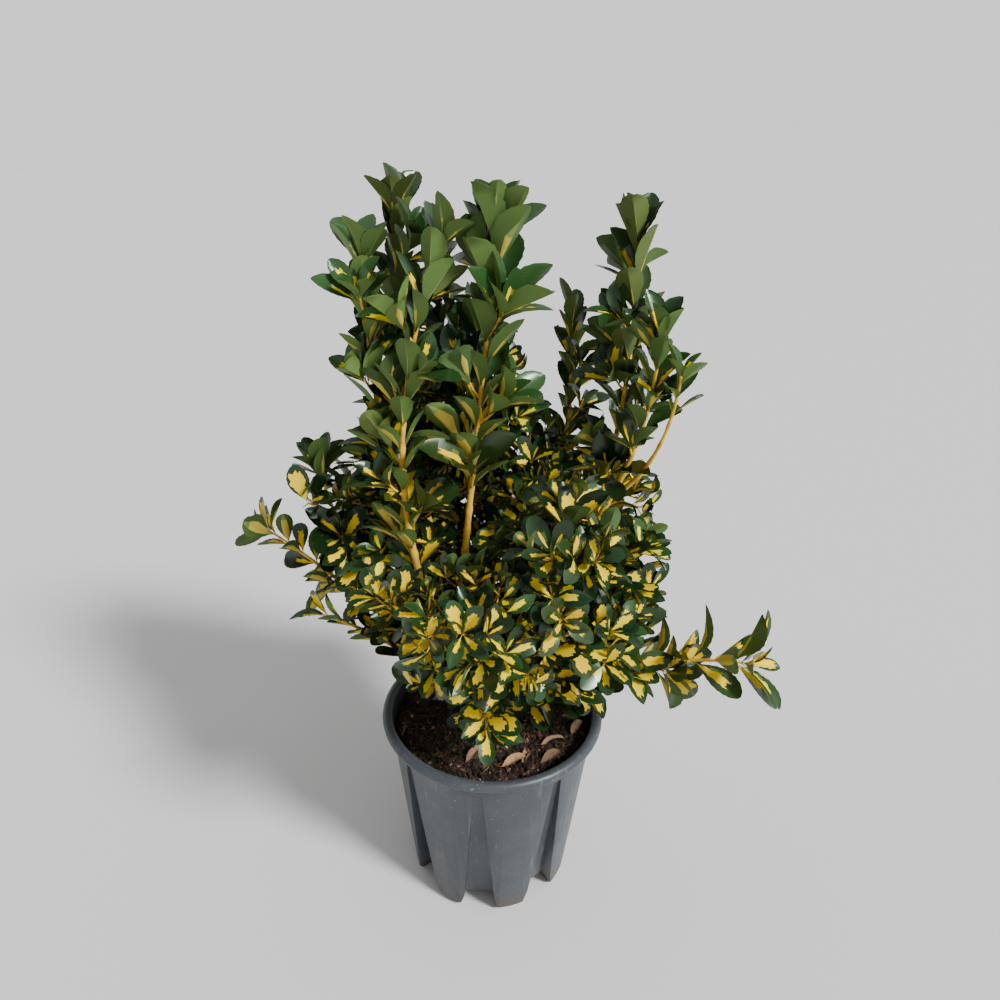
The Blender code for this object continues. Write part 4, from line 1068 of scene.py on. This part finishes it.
def makeDryLeaves():
    # fallen leaves, curled up across their length, a few millimetres proud of the compost
    bm = bmesh.new()
    finishes = []
    for n, (x, y, heading, length, curl, colour) in enumerate(dryLeaves):
        part = bmesh.new()
        part.from_mesh(leafShape(0))
        for vert in part.verts:
            across, along, up = vert.co
            bent = 3.2 * curl * (0.55 + 0.9 * abs(along - 0.4))
            turn = across * bent
            bow = 0.35 * curl * (along - 0.5) ** 2
            curled = Vector((math.sin(turn) / bent, 0.0, (1 - math.cos(turn)) / bent + bow + up * 0.3))
            curled.rotate(Matrix.Rotation((along - 0.5) * 0.6 * curl, 3, "Y"))
            vert.co = (curled.x, along - 0.5, curled.z)
        turned = Matrix.Rotation(math.radians(heading - 90), 4, "Z") @ Matrix.Rotation(0.12, 4, "X")
        placed = Matrix.Translation((x, y, shrub["soilHeight"] + 0.0052)) @ turned @ Matrix.Scale(length, 4)
        bmesh.ops.transform(part, matrix=placed, verts=part.verts)
        for face in part.faces:
            face.material_index = n
        mesh = bpy.data.meshes.new("dryLeaf")
        part.to_mesh(mesh)
        part.free()
        bm.from_mesh(mesh)
        bpy.data.meshes.remove(mesh)
        finish = Finish(f"dryLeaf{n + 1}", colour, 0.75, Specular_IOR_Level=0.2)
        tint = finish.ramp(finish.noise(140.0, 4.0), 0.35, 0.70)
        finish.put("Base Color", finish.mix(tint * 0.7, rgba(colour), rgba([part * 0.45 for part in colour])))
        finish.bump(finish.noise(600.0, 3.0), 0.5, 0.0006)
        finishes.append(finish.material)
    return meshObject(bm, "dryLeaves", *finishes)


# Studio

camera = {
    "stand": (0.0, -0.702, 0.824),
    "pitch": 24.7,
    "roll": 1.12,
    "yaw": 0.33,
    "lens": 26.78,
}

studio = {
    "floor": 0.62,
    "zenith": 0.66,
    "band": (0.17, 0.34),  # where the bright band round the horizon fades, as sines of the angle
    "sideways": 0.98,  # how much brighter the front right is than the front left
    "rise": (0.03, 0.22),  # and where that sets in
    "keyFrom": (0.80, -0.60, 0.85),
    "keyPower": 5.4,
    "keyWidth": 12.0,  # in degrees, as it is seen from the shrub
}


def makeStage():
    bpy.ops.mesh.primitive_plane_add(size=60.0)
    floor = bpy.context.object
    floor.name = "floor"
    floor.data.materials.append(Finish("paleFloor", (studio["floor"],) * 3, 0.9).material)
    world = bpy.data.worlds.new("studio")
    bpy.context.scene.world = world
    world.use_nodes = True
    sky = Maker(world.node_tree)
    parts = sky.node("ShaderNodeSeparateXYZ", None, {"Vector": sky.node("ShaderNodeTexCoord")})
    x, y, z = (Sock(sky, parts.socket.node.outputs[n]) for n in range(3))
    # the band round the horizon is as bright as the far floor, so that no line shows between them
    keyFrom = Vector(studio["keyFrom"]).normalized()
    horizon = studio["floor"] * (studio["zenith"] + studio["keyPower"] * keyFrom.z / math.pi)
    glow = sky.node("ShaderNodeMapRange", None,
                    {"Value": z, "From Min": studio["band"][0], "From Max": studio["band"][1],
                     "To Min": horizon, "To Max": studio["zenith"]})
    # the front differs from side to side only above that, where the floor's far edge doesn't show it
    front = sky.node("ShaderNodeMath", {"operation": "MAXIMUM"}, {0: 0 - y, 1: 0.0})
    share = sky.node("ShaderNodeMapRange", None,
                     {"Value": z, "From Min": studio["rise"][0], "From Max": studio["rise"][1],
                      "To Max": 2 * studio["sideways"]})
    background = world.node_tree.nodes["Background"]
    sky.give(background.inputs["Color"], (1.0, 1.0, 1.0, 1.0))
    sky.give(background.inputs["Strength"], glow * (1 + x * front * share))
    lamp = bpy.data.lights.new("key", "SUN")
    lamp.energy, lamp.angle = studio["keyPower"], math.radians(studio["keyWidth"])
    item = link(bpy.data.objects.new("key", lamp))
    item.rotation_euler = (-keyFrom).to_track_quat("-Z", "Y").to_euler()


def makeCamera():
    pitch, roll, yaw = (math.radians(camera[key]) for key in ("pitch", "roll", "yaw"))
    ahead = Vector((math.sin(yaw) * math.cos(pitch), math.cos(yaw) * math.cos(pitch), -math.sin(pitch)))
    right = Vector((math.cos(yaw), -math.sin(yaw), 0.0))
    up = right.cross(ahead)
    level, tipped = math.cos(roll), math.sin(roll)
    turn = Matrix((right * level + up * tipped, up * level - right * tipped, -ahead)).transposed()
    data = bpy.data.cameras.new("photoCamera")
    data.lens, data.sensor_width = camera["lens"], 36.0
    item = link(bpy.data.objects.new("photoCamera", data))
    item.matrix_world = Matrix.Translation(camera["stand"]) @ turn.to_4x4()
    bpy.context.scene.camera = item


limbs = layLimbs()
grower = Grower(limbs)
for shoot in shoots:
    before = len(grower.leaves)
    grower.mass(shoot, limbs[shoot.name])
    print(shoot.name, len(grower.leaves) - before, "leaves")
print("grown", len(grower.leaves), "leaves on", len(grower.twigs), "side twigs")

boughs, twigs = makeLimbs(limbs, grower)
leafPieces = makeLeaves(grower)
pot = makePot()
compost = [makeBed()] + makeStrewn() + [makeDryLeaves()]
print("pot", triangles(pot), "triangles")

foliageNodes = [name for name in frame["nodes"] if name.startswith("foliage_")]
boughNodes = [name for name in frame["nodes"] if name.startswith("bough_")]
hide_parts("pot")
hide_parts("stem", *boughNodes)
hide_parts(*foliageNodes)
for piece in leafPieces:
    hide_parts(*foliageNodes)
slotted = [(pot, "pot"), (boughs, "bark"), (twigs, "bark")]
slotted += [(piece, "foliage") for piece in leafPieces] + [(piece, "soil") for piece in compost]
for piece, slot in slotted:
    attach(piece, "root")
frame["nodes"]["soil"].material_slots[0].material = compostFinish("compost", compostLook["dark"],
                                                                 compostLook["pale"])
makeStage()
makeCamera()
